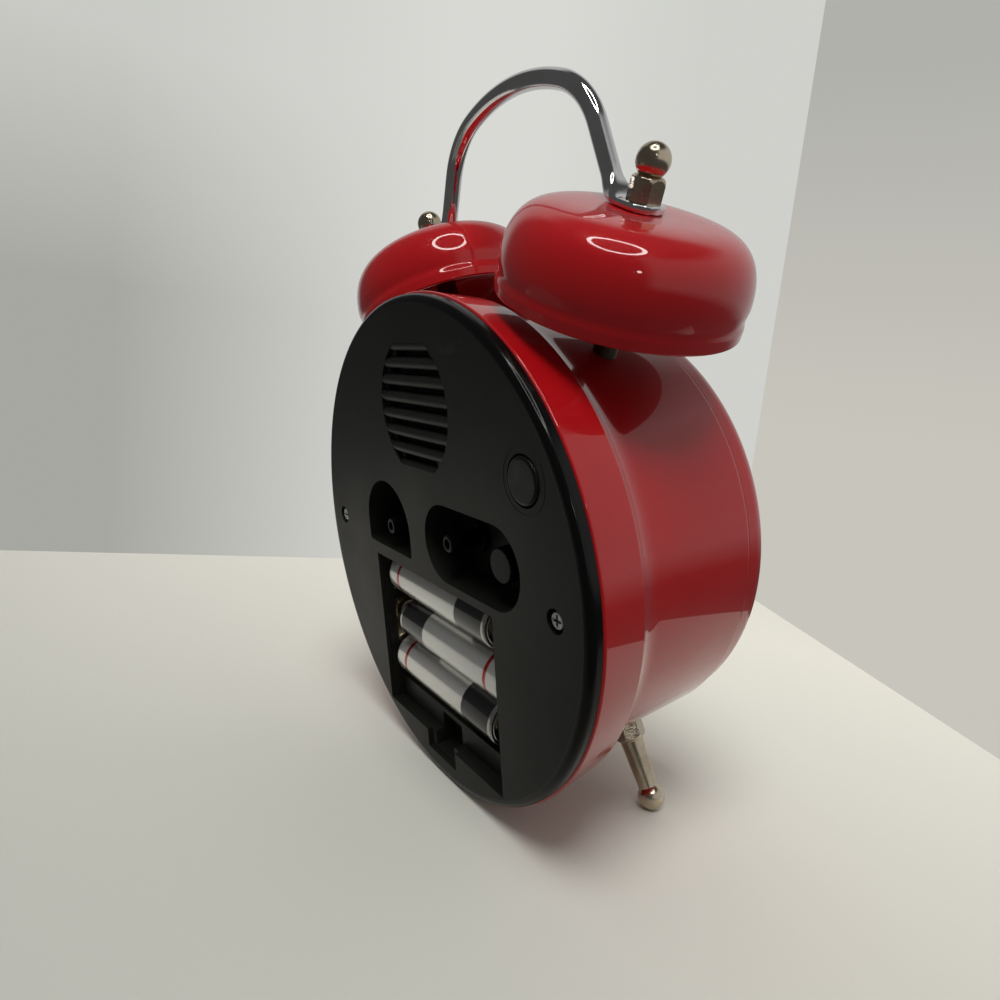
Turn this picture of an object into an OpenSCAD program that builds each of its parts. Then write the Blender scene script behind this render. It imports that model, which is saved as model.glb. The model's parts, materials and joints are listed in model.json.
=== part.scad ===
// Twin-bell alarm clock with a speaker, a quartz movement and three AAA cells behind its back plate.
// Each piece is drawn along the clock's own axis: the back plate lies at z = 0, the dial faces +z,
// x runs to the right as seen from the dial, and y runs up. stand() then leans the clock back
// on its two ball feet and its rear band, with the table at z = 0. All sizes are in millimetres.

/* [Case] */
// Outer radius of the drum just in front of the rear band
waist_r = 48.9; // [47.5:0.1:49.5]
// How far the rear band's ridge stands out from the drum
ridge_step = 4.1; // [3.6:0.1:5]
// Depth of the ridge from the back of the clock
ridge_d = 12.6; // [11:0.1:15]
// How far the rear band flares from its ridge to the back plate
band_flare = 1.4; // [0.8:0.1:2.5]
// Radius of the hollow fillet between ridge and drum
waist_fillet = 3.6; // [1:0.1:3.8]
// How far the drum narrows from the ridge to the bezel
drum_taper = 1; // [0.4:0.1:1.6]
// Depth of the seam between drum and bezel
drum_d = 46.2; // [45:0.1:49]
// Length of the bezel in front of the seam
bezel_len = 8.1; // [7:0.1:10]
// Thickness of the sheet metal of case and bells
sheet = 0.9; // [0.6:0.05:1.2]
// Rounding of the case edges
edge_round = 0.6; // [0.3:0.1:0.8]

/* [Back plate] */
// How far the plate's rim stays inside the band
plate_inset = 0.4; // [0.2:0.1:1]
// Depth of the plate's rim, which covers the edge of the band
plate_rim = 2.6; // [2.4:0.1:3.2]
// Thickness of the plate inside its rim
plate_t = 2.2; // [1.6:0.1:2.4]
// Rounding of the rim's outer edge
plate_edge = 1.5; // [0.8:0.1:2]
// Depth to which the plate's collar reaches into the band
collar_d = 8; // [6:0.1:9]
// Wall of that collar and of the wells and the battery bay
moulding = 1.2; // [1:0.1:1.4]
// Distance of each plate screw inside the plate's collar
screw_inset = 6.8; // [6.5:0.1:8.5]
// Radius of a plate screw's head
screw_head_r = 1.8; // [1.6:0.05:2.1]
// Radius of a plate screw's shank
screw_r = 1.1; // [0.9:0.05:1.2]

/* [Speaker grille] */
// Height of the grille's centre above the axis
grille_y = 31.5; // [30.5:0.1:33]
// Radius of the dished grille
grille_r = 14.4; // [12:0.1:14.8]
// Depth of the dish
grille_dish = 1; // [0.4:0.1:1.2]
// Number of sound slots
slot_count = 7; // [3:2:7]
// Distance from slot to slot
slot_pitch = 3.6; // [3.2:0.1:3.9]
// Height of a slot
slot_h = 1.1; // [0.8:0.1:1.6]

/* [Controls] */
// Distance of the time knob from the axis, to the right as seen from behind
time_knob_x = 9.2; // [8.8:0.1:10.5]
// Height of the time and volume knobs above the axis
time_knob_y = 4.5; // [3.8:0.1:5]
// Distance of the volume knob from the axis, to the right as seen from behind
volume_knob_x = 27.4; // [26:0.1:28]
// Radius of the ends of the well round those two knobs
well_r = 8.3; // [7:0.1:8.6]
// Distance of the alarm knob from the axis, to the left as seen from behind
alarm_knob_x = 17.6; // [17:0.1:18.5]
// Height of the alarm knob above the axis
alarm_knob_y = 2.6; // [2:0.1:3.5]
// Width of the well round the alarm knob
alarm_well_w = 22; // [16:0.1:22.5]
// Height of the top of the alarm well above the axis
alarm_well_top = 13.5; // [12:0.1:15]
// Height of the floor line of the alarm well, below the axis
alarm_well_low = 2.7; // [2:0.1:3]
// Depth of both wells
well_depth = 9; // [8:0.1:10]
// Radius of the slim setting knobs
knob_r = 1.9; // [1.7:0.05:2.4]
// Radius of the fluted volume knob
volume_knob_r = 3.5; // [3:0.1:4.5]
// Depth of the knob tips below the back of the plate
knob_sink = 0.6; // [0.3:0.1:2]
// Distance of the push button's centre inside the plate's collar
button_inset = 7.9; // [7.4:0.1:9]
// Angle of the push button above the axis, on the right as seen from behind
button_angle = 30.5; // [28:0.5:32]
// Radius of the push button
button_r = 4.3; // [3.5:0.1:4.6]
// How far the push button stands proud
button_proud = 0.4; // [0.2:0.1:1]
// How far the push button travels
button_travel = 1.2; // [0.6:0.1:1.6]

/* [Battery bay] */
// Radius of a cell
cell_r = 5.25; // [5:0.05:5.4]
// Length of a cell with its nub
cell_len = 44.5; // [43:0.1:45]
// Distance from cell to cell
cell_pitch = 11; // [10.9:0.1:11.4]
// Depth of the cells' axes
cell_axis_d = 6.7; // [6:0.1:7.5]
// Distance of the bay's top edge below the axis
bay_top = 5.7; // [5.6:0.1:6.2]
// Room left at each cell for its spring
spring_room = 4.6; // [3.8:0.1:5.2]
// Height of the latch shelf below the cells
shelf_h = 5.6; // [4:0.1:5.8]
// Depth of the latch shelf
shelf_d = 3.4; // [2.6:0.1:5]
// Width of the latch notch
notch_w = 12.6; // [8:0.1:16]
// How far the notch reaches below the shelf
notch_h = 4.4; // [2:0.1:4.6]
// Thickness of the contact plates
contact_t = 0.4; // [0.3:0.05:0.5]
// Diameter of the spring wire
spring_wire = 0.45; // [0.3:0.05:0.5]
// Number of curls of a contact spring
spring_curls = 3; // [2:1:4]
// Radius of a spring's widest curl
spring_r = 3.4; // [3:0.1:4]

/* [Speaker and sound board] */
// Radius of the speaker's rim
speaker_r = 15; // [14.9:0.1:15.4]
// Depth of the speaker from its rim to the end of its magnet
speaker_len = 10; // [8:0.1:12]
// Thickness of the speaker's magnet
magnet_t = 4; // [3:0.1:5]
// Radius of the speaker's magnet
magnet_r = 8; // [6:0.1:9]
// Depth of the sound board's rear face
board_d = 14; // [13.6:0.1:15]
// Thickness of the sound board
board_t = 1.6; // [1:0.1:2]

/* [Movement] */
// Depth of the movement's rear face
movement_d = 26; // [24:0.1:27]
// Wall of the movement's housing
housing_t = 1.5; // [1.2:0.1:1.8]
// Radius of the seconds arbor
second_arbor_r = 0.5; // [0.4:0.05:0.6]
// Wall of each hand tube
tube_t = 0.55; // [0.5:0.05:0.65]
// Centre distance of the motion wheel from the axis
motion_c = 10; // [9.5:0.1:10.5]
// Radius of the seconds wheel
second_wheel_r = 6; // [5.5:0.1:6.2]
// Radius of the stepping wheel
step_wheel_r = 6.1; // [5.6:0.1:6.2]
// Radius of the rotor magnet
rotor_r = 3; // [2.4:0.1:3.2]
// Thickness of a movement wheel
wheel_t = 1; // [0.7:0.1:1.1]

/* [Dial and hands] */
// Thickness of the dial
dial_t = 1; // [0.6:0.1:1.2]
// Width of the bezel round its opening
bezel_w = 6.5; // [6:0.1:9]
// How far the lens reaches behind the bezel
lens_lap = 1.9; // [1.2:0.1:2.2]
// Thickness of the lens
lens_t = 1.5; // [1:0.1:2]
// Length of the hour hand
hour_len = 22; // [16:0.5:28]
// Length of the minute hand
minute_len = 32; // [26:0.5:38]
// Length of the second hand
second_len = 34; // [26:0.5:38]
// Length of the alarm hand
alarm_len = 17; // [12:0.5:24]
// Thickness of a hand
hand_t = 0.4; // [0.3:0.05:0.5]

/* [Bells and handle] */
// How far each bell's top stands out from the drum
bell_rise = 25.3; // [24.5:0.1:27]
// Angle of each bell's top from straight up, about the axis
bell_angle = 29.1; // [28:0.1:30.5]
// Depth of the bells, the handle and the finials
bell_d = 28.7; // [27.5:0.1:30]
// Lean of each bell away from the middle
bell_tilt = 22.5; // [20:0.5:25]
// Radius of a bell
bell_r = 23; // [21.5:0.1:24]
// Height of a bell
bell_h = 16.9; // [15.6:0.1:17.6]
// Height of a bell's dome above its straight side
dome_h = 11.5; // [9:0.1:12]
// Fullness of a bell's dome: 2 is an ellipse, more is flatter on top
dome_power = 6; // [3:0.1:7]
// Height of a bell's neck above its mouth
lip_h = 3.4; // [2.4:0.1:4]
// How far the neck is drawn in
lip_in = 0.4; // [0.2:0.1:0.8]
// Radius of a bell post
post_r = 2.4; // [2:0.1:3]
// Radius of the screwed ends of posts and feet
stud_r = 1.5; // [1.2:0.1:1.8]
// Radius of the handle wire
wire_r = 1.9; // [1.6:0.1:2.1]
// Height of the handle's crown above the tops of the bells
handle_rise = 28.6; // [26:0.1:31]
// Radius of the handle's crown
crown_r = 44.5; // [40:0.5:55]
// Half angle of the handle's crown
crown_half = 21; // [17:0.5:23]
// Radius of the handle's shoulders
handle_corner_r = 16.6; // [14:0.1:19]
// Slope of the handle's legs from upright
handle_slope = 20.5; // [17:0.5:23]
// Bend radius where a leg meets its tab
handle_bend_r = 4.5; // [3.5:0.1:6]
// Thickness of the flattened tabs
tab_t = 1.5; // [1:0.1:2]
// Width of the flattened tabs
tab_w = 8; // [6.8:0.1:9]
// Width across the flats of a finial
finial_af = 5.5; // [5:0.1:6.4]
// Height of a finial's hexagon
finial_hex = 3.4; // [2.8:0.1:4.2]
// Height of the cone between a finial's hexagon and its ball
finial_cone = 1.2; // [0.8:0.1:1.6]
// Radius of the balls on finials and feet
ball_r = 3; // [2.6:0.05:3.4]

/* [Feet] */
// Angle of each foot from straight down
foot_angle = 28; // [24:0.5:34]
// Distance of the feet behind the drum's front edge
foot_inset = 10.2; // [8.5:0.1:13]
// Distance of a foot's ball from the drum
foot_len = 16.6; // [15:0.1:19]
// Width across the flats of a foot's collar
foot_af = 6.2; // [5.4:0.1:7]
// Length of a foot's collar outside the drum
foot_collar_len = 3.5; // [2.5:0.1:5]
// Radius of a foot's shank at its collar
foot_top_r = 2.7; // [2.4:0.05:3]
// Radius of a foot's shank at its ball
foot_end_r = 2.1; // [1.7:0.05:2.4]

/* [Fits] */
// Clearance round a turning shaft
run_fit = 0.05; // [0.03:0.01:0.08]
// Clearance between pieces that move past each other
clear = 0.3; // [0.2:0.05:0.4]
// Clearance of a part that drops into its seat
seat_fit = 0.1; // [0.05:0.05:0.2]

/* [Hidden] */
$fn = 96;

red = "#9c1c22";
black = "#2b2c29";
nickel = "#a39a8a";
chrome = "#c9cacc";
brass = "#b59a55";

// The case's own lines
ridge_r = waist_r + ridge_step;
band_r = ridge_r + band_flare;
plate_r = band_r - plate_inset;
drum_r = waist_r - drum_taper;
opening_r = drum_r - bezel_w;
lens_r = opening_r + lens_lap;
foot_d = drum_d - foot_inset;
foot_reach = waist_r + foot_len;
foot_collar = waist_r + foot_collar_len;
fillet = min(waist_fillet, ridge_step - 0.3);
bore_r = band_r - sheet;
collar_r = ridge_r - sheet - seat_fit;
screw_x = collar_r - screw_inset;
drum_bore_r = drum_r - sheet;
nose_r = 1.4;
nose_turn = 28;
nose_at = [opening_r + nose_r, drum_d + bezel_len - nose_r];
front_d = drum_d + bezel_len;
lug_half = 4;

// How it stands: the balls of the feet and the lower edge of the band touch the same table
foot_y = -foot_reach * cos(foot_angle);
rim_y = band_r - edge_round;
rim_d = plate_rim + edge_round;
reach_d = foot_d - rim_d;
reach_y = foot_y + rim_y;
lean = asin((ball_r - edge_round) / norm([reach_d, reach_y])) - atan2(reach_y, reach_d);
stand_z = rim_y * cos(lean) - rim_d * sin(lean) + edge_round;
plate_back = (plate_r - plate_edge) * sin(lean) - plate_edge * cos(lean) + plate_edge;
nose_front = -nose_at[0] * sin(lean) - nose_at[1] * cos(lean) - nose_r;
stand_y = -(plate_back + nose_front) / 2;

// The battery bay, from the cells
bay_w = cell_len + spring_room + 2 * contact_t;
first_cell_y = -bay_top - cell_r - 0.5;
cell_ys = [for (i = [0:2]) first_cell_y - i * cell_pitch];
bay_low = cell_ys[2] - cell_r - 0.6;
bay_floor = cell_axis_d + cell_r + 0.5;
door_ledge = 1.1;
door_step = 0.7;
contact_face = bay_w / 2 - contact_t;
nub_r = 1.9;
nub_len = 0.9;
cradle_w = 1.4;
cradle_x = cell_len / 4;

// Controls, in the dial's view: right as seen from behind is -x
time_at = [-time_knob_x, time_knob_y];
volume_at = [-volume_knob_x, time_knob_y];
alarm_at = [alarm_knob_x, alarm_knob_y];
button_at = (collar_r - button_inset) * [-cos(button_angle), sin(button_angle)];
alarm_well_x = 17.6;
alarm_dome_r = alarm_well_w / 2;
alarm_corner_r = 1;
well_floor = well_depth + moulding;
shaft_r = 1;
knob_base_r = 3.2;
knob_base_t = 1.2;
volume_sink = knob_sink + 0.8;

// Sound board and what sits on it
switch_w = 6;
switch_h = 2;
plunger_h = 0.8;
control_h = 2.8;
control_r = 4.6;
speaker_seat = plate_t + 1;
speaker_rim_t = 1;
frame_t = 0.8;
cone_t = 0.4;
cone_inset = 2.5;
cone_hub_r = 4.4;
cone_depth = speaker_len - magnet_t - 1.6;
board_gap = 0.8;
board_r = waist_r - sheet - board_gap;
board_edge = [6, 5.4, 2];
board_lo = [-board_r, volume_at[1] - control_r - board_edge[2]];
board_hi = [time_at[0] - board_edge[0], button_at[1] + board_edge[1]];
post_by_button = [11, 4];
post_by_volume = [9.4, 14];
post_edge = 6.1;
post_angle = 10.5;
board_posts = [button_at + post_by_button, volume_at + post_by_volume,
  (board_r - post_edge) * [-cos(post_angle), sin(post_angle)]];
post_out_r = 2;
board_screw_r = 0.8;
board_head_r = 1.5;
board_head_h = 0.9;
screw_grip = 4.9;
chip_by_volume = [-2.6, 9.5];
chip_at = volume_at + chip_by_volume;
chip_r = 5;
chip_h = 1.6;
capacitor_by_volume = [5.4, 5.5];
capacitor_at = volume_at + capacitor_by_volume;
capacitor_r = 2.5;
capacitor_h = 6;

// Movement, wheel by wheel from its rear wall
time_c = norm(time_at);
alarm_c = norm(alarm_at);
time_teeth = 14;
minute_teeth = 28;
alarm_teeth = 16;
alarm_wheel_teeth = 40;
cannon_teeth = 10;
motion_teeth = 30;
motion_pinion_teeth = 10;
hour_teeth = 40;
second_teeth = 40;
step_pinion_teeth = 8;
step_teeth = 48;
rotor_teeth = 8;
tooth_root = 0.24;
tooth_tip = 0.1;
time_pinion_r = time_c * time_teeth / (time_teeth + minute_teeth);
minute_wheel_r = time_c - time_pinion_r;
alarm_pinion_r = alarm_c * alarm_teeth / (alarm_teeth + alarm_wheel_teeth);
alarm_wheel_r = alarm_c - alarm_pinion_r;
cannon_r = motion_c * cannon_teeth / (cannon_teeth + motion_teeth);
motion_wheel_r = motion_c - cannon_r;
motion_pinion_r = motion_c * motion_pinion_teeth / (motion_pinion_teeth + hour_teeth);
hour_wheel_r = motion_c - motion_pinion_r;
step_pinion_r = second_wheel_r * step_pinion_teeth / second_teeth;
rotor_pinion_r = step_wheel_r * rotor_teeth / step_teeth;
motion_angle = -90;
step_angle = 62;
rotor_angle = 30;
motion_at = motion_c * [cos(motion_angle), sin(motion_angle)];
step_c = second_wheel_r + step_pinion_r;
rotor_c = step_wheel_r + rotor_pinion_r;
step_at = step_c * [cos(step_angle), sin(step_angle)];
rotor_at = step_at + rotor_c * [cos(rotor_angle), sin(rotor_angle)];
wheel_gap = 0.6;
floor_d = movement_d + housing_t;
second_z = floor_d + wheel_gap;
step_z = second_z + wheel_t + wheel_gap;
minute_z = step_z + wheel_t + wheel_gap;
motion_z = minute_z + wheel_t + wheel_gap;
hour_z = motion_z + wheel_t + wheel_gap;
alarm_z = hour_z + wheel_t + wheel_gap;
roof_d = alarm_z + wheel_t + wheel_gap;
movement_front_d = roof_d + housing_t;
housing_gap = 1.4;
coil_r = 2.4;
flange_step = 0.6;
coil_y = rotor_at[1] + rotor_r + coil_r + 2.4;
house_lo = [-max(alarm_wheel_r, time_knob_x + time_pinion_r) - housing_gap - housing_t,
  motion_at[1] - motion_wheel_r - housing_gap - housing_t];
house_hi = [alarm_at[0] + alarm_pinion_r + housing_gap + housing_t, coil_y + coil_r + housing_gap + housing_t];
house_split = (movement_d + movement_front_d) / 2;
pivot_r = 0.7;
quartz_lo = [motion_wheel_r + 2, house_lo[1] + housing_t + 0.6];
quartz_size = [11, 12];
quartz_t = 1;
quartz_post_h = 2;
crystal_r = 1.05;
crystal_len = 6;
crystal_at = [2.2, 2.6];
driver_r = 2.2;
driver_h = 0.9;
driver_at = [5.5, 8];

// Hand tubes, one inside the other, and the stack in front of the dial
minute_bore_r = second_arbor_r + run_fit;
minute_tube_r = minute_bore_r + tube_t;
hour_bore_r = minute_tube_r + run_fit;
hour_tube_r = hour_bore_r + tube_t;
alarm_bore_r = hour_tube_r + run_fit;
alarm_tube_r = alarm_bore_r + tube_t;
bush_bore_r = alarm_tube_r + run_fit;
bush_r = bush_bore_r + 1.3;
dial_d = drum_d - dial_t - 0.2;
dial_r = drum_bore_r - 1.2 - seat_fit;
retainer_t = 2.5;
nut_t = 1.1;
bush_end = dial_d + dial_t + nut_t;
hand_gap = 0.45;
second_tail = 10;
alarm_hand_z = bush_end + hand_gap;
hour_hand_z = alarm_hand_z + hand_t + hand_gap;
minute_hand_z = hour_hand_z + hand_t + hand_gap;
second_hand_z = minute_hand_z + hand_t + hand_gap;
lens_d = nose_at[1] - lens_t;

// Bells, posts and handle: unit vectors along a post and along its tab, for the bell at +x
post_dir = [sin(bell_tilt), cos(bell_tilt)];
bell_seat = (waist_r + bell_rise) * [sin(bell_angle), cos(bell_angle)];
handle_top = bell_seat[1] + handle_rise;
finial_ball_h = tab_t + finial_hex + ball_r + 0.05;
stud_end = 4;
post_len = bell_seat * post_dir
  - sqrt(pow(waist_r - stud_end, 2) - pow(norm(bell_seat), 2) + pow(bell_seat * post_dir, 2));
crown_at = [0, handle_top - crown_r];
corner_at = crown_at + (crown_r - handle_corner_r) * [sin(crown_half), cos(crown_half)];
leg_dir = [sin(handle_slope), -cos(handle_slope)];
leg_side = [cos(handle_slope), sin(handle_slope)];
leg_start = corner_at + handle_corner_r * leg_side;
tab_line = bell_seat + (wire_r + 0.12) * post_dir;
leg_len = (handle_bend_r - (leg_start + handle_bend_r * leg_side - tab_line) * post_dir) / (leg_dir * post_dir);
bend_at = leg_start + leg_len * leg_dir + handle_bend_r * leg_side;
bend_end = bend_at - handle_bend_r * post_dir;
tab_len = norm(tab_line - bend_end);
nut_h = 3.6;
nut_af = 5.5;

// Outlines and frames

// The frame in which the clock stands on the table
module stand() translate([0, stand_y, stand_z]) rotate([90 - lean, 0, 0]) children();

// The frame of a bell: z = 0 on top of the bell, z along its post
module at_bell(side) translate([side * bell_seat[0], bell_seat[1], bell_d]) rotate([-90, 0, -side * bell_tilt]) children();

// The frame of a foot: z runs outwards from the clock's axis
module at_foot(side) translate([0, 0, foot_d]) rotate([90, 0, side * foot_angle]) children();

module at(p) translate([p[0], p[1], 0]) children();

function arc(c, r, a0, a1, n) = [for (i = [0:n]) let (a = a0 + (a1 - a0) * i / n) c + r * [cos(a), sin(a)]];

// Half the case's section, outside and inside, as radius and depth
case_outside = concat(
  arc([rim_y, rim_d], edge_round, -90, 0, 4),
  arc([ridge_r - edge_round, ridge_d - edge_round], edge_round, 0, 90, 4),
  arc([waist_r + fillet, ridge_d + fillet], fillet, 270, 180, 8),
  [[drum_r, drum_d]]);
inner_turn = acos((fillet - ridge_step + sheet) / (fillet + sheet));
case_inside = concat(
  [[drum_bore_r, drum_d]],
  arc([waist_r + fillet, ridge_d + fillet], fillet + sheet, 180, 180 + inner_turn, 8),
  [[ridge_r - sheet, ridge_d - sheet], [bore_r, plate_rim]]);

// The case as a full solid, to shape what sits on the drum
module case_solid() rotate_extrude() polygon(concat([[0, drum_d], [0, plate_rim]], case_outside));
module case_space() rotate_extrude() polygon(concat([[0, plate_rim], [0, drum_d]], case_inside));

// Half a bell's section at a depth t below its outer skin: a superellipse, the drawn-in neck, then the lip
function bell_line(t) = concat(
  [for (i = [1:12]) let (a = 90 * pow(i / 12, 1.2))
    [(bell_r - t) * pow(sin(a), 2 / dome_power), (dome_h - t) * cos(a) - dome_h]],
  [[bell_r - lip_in - t, lip_h - bell_h], [bell_r - t, lip_h * 0.6 - bell_h], [bell_r - t, -bell_h]]);

module hexagon(across, h) cylinder(r = across / 2 / cos(30), h = h, $fn = 6);

module ring(r, bore, h) difference() {
  cylinder(r = r, h = h);
  translate([0, 0, -1]) cylinder(r = bore, h = h + 2);
}

// A toothed outline with n teeth on a pitch circle of radius r, with a tooth at the angle turn
module teeth(n, r, turn = 0) {
  m = 2 * r / n;
  flank = [-tooth_root, -tooth_tip, tooth_tip, tooth_root];
  polygon([for (i = [0:n - 1], k = [0:3]) let (a = turn + (i + flank[k]) * 360 / n,
    q = k == 1 || k == 2 ? r + 0.8 * m : r - m) q * [cos(a), sin(a)]]);
}

// A wheel that takes a tooth of its neighbour at the angle turn
module gap_teeth(n, r, turn) teeth(n, r, turn + 180 / n);

// The well round the time and volume knobs, widened by g
module knob_well(g) {
  at(time_at) circle(r = well_r + g);
  at(volume_at) circle(r = well_r + g);
  translate([volume_at[0], time_knob_y - well_r - g]) square([volume_knob_x - time_knob_x, 2 * (well_r + g)]);
}

// The domed well round the alarm knob, widened by g
module alarm_well(g) translate([alarm_well_x, 0]) {
  low = -alarm_well_low + alarm_corner_r;
  intersection() {
    translate([0, alarm_well_top - alarm_dome_r]) circle(r = alarm_dome_r + g);
    translate([-alarm_dome_r - g, low]) square(2 * (alarm_dome_r + g));
  }
  translate([-alarm_dome_r - g, low]) square([2 * (alarm_dome_r + g), alarm_well_top - alarm_dome_r - low]);
  for (side = [-1, 1]) translate([side * (alarm_dome_r - alarm_corner_r), low]) circle(r = alarm_corner_r + g);
  translate([-alarm_dome_r + alarm_corner_r, -alarm_well_low - g])
    square([2 * (alarm_dome_r - alarm_corner_r), alarm_corner_r + g]);
}

// A box from two corners
module block(lo, hi) translate(lo) cube(hi - lo);

// Case, bezel and dial

module case_shell() color(red) difference() {
  union() {
    rotate_extrude() polygon(concat(case_outside, case_inside));
    intersection() {
      case_solid();
      for (turn = [0, 180]) rotate([0, 0, turn]) block([screw_x - lug_half, -lug_half, collar_d + seat_fit],
        [band_r, lug_half, collar_d + seat_fit + sheet]);
    }
  }
  for (side = [-1, 1]) {
    translate([side * screw_x, 0, collar_d - 1]) cylinder(r = screw_r + run_fit, h = 4);
    at_foot(side) translate([0, 0, waist_r / 2]) cylinder(r = stud_r + run_fit, h = waist_r);
    at_bell(side) translate([0, 0, -post_len]) cylinder(r = stud_r + run_fit, h = post_len);
  }
}

module front_bezel() color(red) rotate_extrude() polygon(concat(
  [[drum_r - 0.15, drum_d], [drum_r - 0.1, drum_d + 0.4]],
  arc(nose_at, nose_r, nose_turn, 180, 12),
  [[opening_r, lens_d + lens_t], [lens_r + seat_fit, lens_d + lens_t], [lens_r + seat_fit, drum_d],
    [drum_bore_r - seat_fit / 2 - 1.1, drum_d], [drum_bore_r - seat_fit / 2 - 1.1, dial_d - retainer_t],
    [drum_bore_r - seat_fit / 2, dial_d - retainer_t], [drum_bore_r - seat_fit / 2, drum_d]]));

module lens() color("#cfe3ea", 0.35) translate([0, 0, lens_d]) cylinder(r = lens_r, h = lens_t);

module dial() color("#f3efe2") translate([0, 0, dial_d]) ring(dial_r, bush_r + seat_fit, dial_t);

module dial_ring() color("#e9e4d6") rotate_extrude() polygon([[lens_r, dial_d + dial_t], [lens_r, lens_d],
  [lens_r - 0.8, lens_d], [lens_r - 1.9, dial_d + dial_t]]);

module dial_retainer() color(black) translate([0, 0, dial_d - retainer_t])
  ring(dial_r, dial_r - 3, retainer_t);

module dial_nut() color(brass) translate([0, 0, dial_d + dial_t]) difference() {
  hexagon(2 * bush_r + 2.4, nut_t);
  translate([0, 0, -1]) cylinder(r = bush_r + run_fit, h = nut_t + 2);
}

// Back plate with its wells, grille and battery bay

module grille_slots() for (i = [0:slot_count - 1]) {
  up = (i - (slot_count - 1) / 2) * slot_pitch;
  half = sqrt(pow(grille_r - 1.4, 2) - up * up);
  translate([-half, grille_y + up - slot_h / 2, -1]) cube([2 * half, slot_h, plate_t + 2]);
}

// The dish, between the crests of the outermost bars
module grille_hollow() {
  half = slot_count * slot_pitch / 2 + 0.4;
  translate([0, grille_y, -1]) intersection() {
    cylinder(r = grille_r, h = grille_dish + 1);
    block([-grille_r, -half, 0], [grille_r, half, grille_dish + 1]);
  }
}

// Rounded bars between the slots, which fill the dish up to the plate's face
module grille_bars() intersection() {
  translate([0, grille_y, 0]) cylinder(r = grille_r + 0.2, h = plate_t);
  for (i = [0:slot_count]) {
    bar_h = slot_pitch - slot_h;
    up = (i - slot_count / 2) * slot_pitch;
    bar_r = (bar_h * bar_h / 4 + grille_dish * grille_dish) / 2 / grille_dish;
    translate([-grille_r, grille_y + up, bar_r]) intersection() {
      rotate([0, 90, 0]) cylinder(r = bar_r, h = 2 * grille_r);
      translate([0, -bar_h / 2, -bar_r]) cube([2 * grille_r, bar_h, grille_dish + 0.2]);
    }
  }
}

module bay_cut() {
  half = bay_w / 2;
  block([-half, bay_low, -1], [half, -bay_top, bay_floor]);
  block([-half, bay_low - shelf_h, -1], [half, bay_low + 1, shelf_d]);
  block([-half - door_step, bay_low - shelf_h, -1], [half + door_step, -bay_top, door_ledge]);
  block([-notch_w / 2, bay_low - shelf_h - notch_h, -1], [notch_w / 2, bay_low - shelf_h + 1, door_ledge]);
  block([-notch_w / 2 + 2, bay_low - shelf_h - notch_h + 1, 0], [notch_w / 2 - 2, bay_low - moulding, shelf_d + 3]);
}

module bay_walls() {
  half = bay_w / 2 + moulding;
  block([-half, bay_low - moulding, 0], [half, -bay_top + moulding, bay_floor + moulding]);
  intersection() {
    block([-half, bay_low - shelf_h - moulding, 0], [half, bay_low, shelf_d + moulding]);
    cylinder(r = collar_r, h = collar_d);
  }
  block([-notch_w / 2, bay_low - shelf_h - notch_h, 0], [notch_w / 2, bay_low, shelf_d + 3 + moulding]);
}

// Ribs across the floor of the bay that carry the cells
module cradles() difference() {
  for (side = [-1, 1]) block([side * cradle_x - cradle_w / 2, bay_low, cell_axis_d + 2],
    [side * cradle_x + cradle_w / 2, -bay_top, bay_floor]);
  for (y = cell_ys) translate([-bay_w / 2, y, cell_axis_d]) rotate([0, 90, 0])
    cylinder(r = cell_r + run_fit, h = bay_w);
}

module back_plate() color(black) {
  difference() {
    union() {
      rotate_extrude() polygon(concat([[0, plate_t], [0, 0]],
        arc([plate_r - plate_edge, plate_edge], plate_edge, -90, 0, 6),
        [[plate_r, plate_rim], [collar_r, plate_rim], [collar_r, collar_d], [collar_r - moulding, collar_d],
          [collar_r - moulding, plate_t]]));
      linear_extrude(well_floor) knob_well(moulding);
      linear_extrude(well_floor) alarm_well(moulding);
      bay_walls();
      translate([0, grille_y, 0]) ring(speaker_r + seat_fit + moulding, grille_r, speaker_seat + speaker_rim_t);
      at(button_at) cylinder(r = button_r + clear + moulding, h = plate_t + 0.4);
      for (p = board_posts) at(p) cylinder(r = post_out_r, h = board_d);
      for (side = [-1, 1]) translate([side * screw_x, 0, 0]) cylinder(r = screw_head_r + 1.4, h = collar_d);
    }
    translate([0, 0, -1]) linear_extrude(well_depth + 1) {
      knob_well(0);
      alarm_well(0);
    }
    bay_cut();
    grille_hollow();
    translate([0, grille_y, speaker_seat]) cylinder(r = speaker_r + seat_fit, h = speaker_len);
    grille_slots();
    at(button_at) translate([0, 0, -1]) cylinder(r = button_r + clear, h = plate_t + 3);
    for (side = [-1, 1]) translate([side * screw_x, 0, 0]) {
      translate([0, 0, -1]) cylinder(r = screw_head_r + 0.45, h = 1 + 1.8);
      cylinder(r = screw_r + run_fit, h = collar_d + 1);
    }
    for (p = board_posts) at(p) translate([0, 0, board_d - 5]) cylinder(r = board_screw_r, h = 6);
    for (p = [time_at, alarm_at]) at(p) cylinder(r = shaft_r + run_fit, h = well_floor + 1);
    at(volume_at) cylinder(r = shaft_r + 0.5 + run_fit, h = well_floor + 1);
  }
  grille_bars();
  cradles();
}

// Phillips screw along +z with its head's rear face at z = 0
module screw(head_r, shank_r, head_h, len) difference() {
  union() {
    cylinder(r1 = head_r * 0.8, r2 = head_r, h = head_h / 3);
    translate([0, 0, head_h / 3]) cylinder(r = head_r, h = head_h * 2 / 3);
    cylinder(r = shank_r, h = len);
  }
  for (a = [0, 90]) rotate([0, 0, a]) translate([-head_r * 0.62, -head_r * 0.13, -1])
    cube([head_r * 1.24, head_r * 0.26, 1 + head_h * 0.6]);
}

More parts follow.
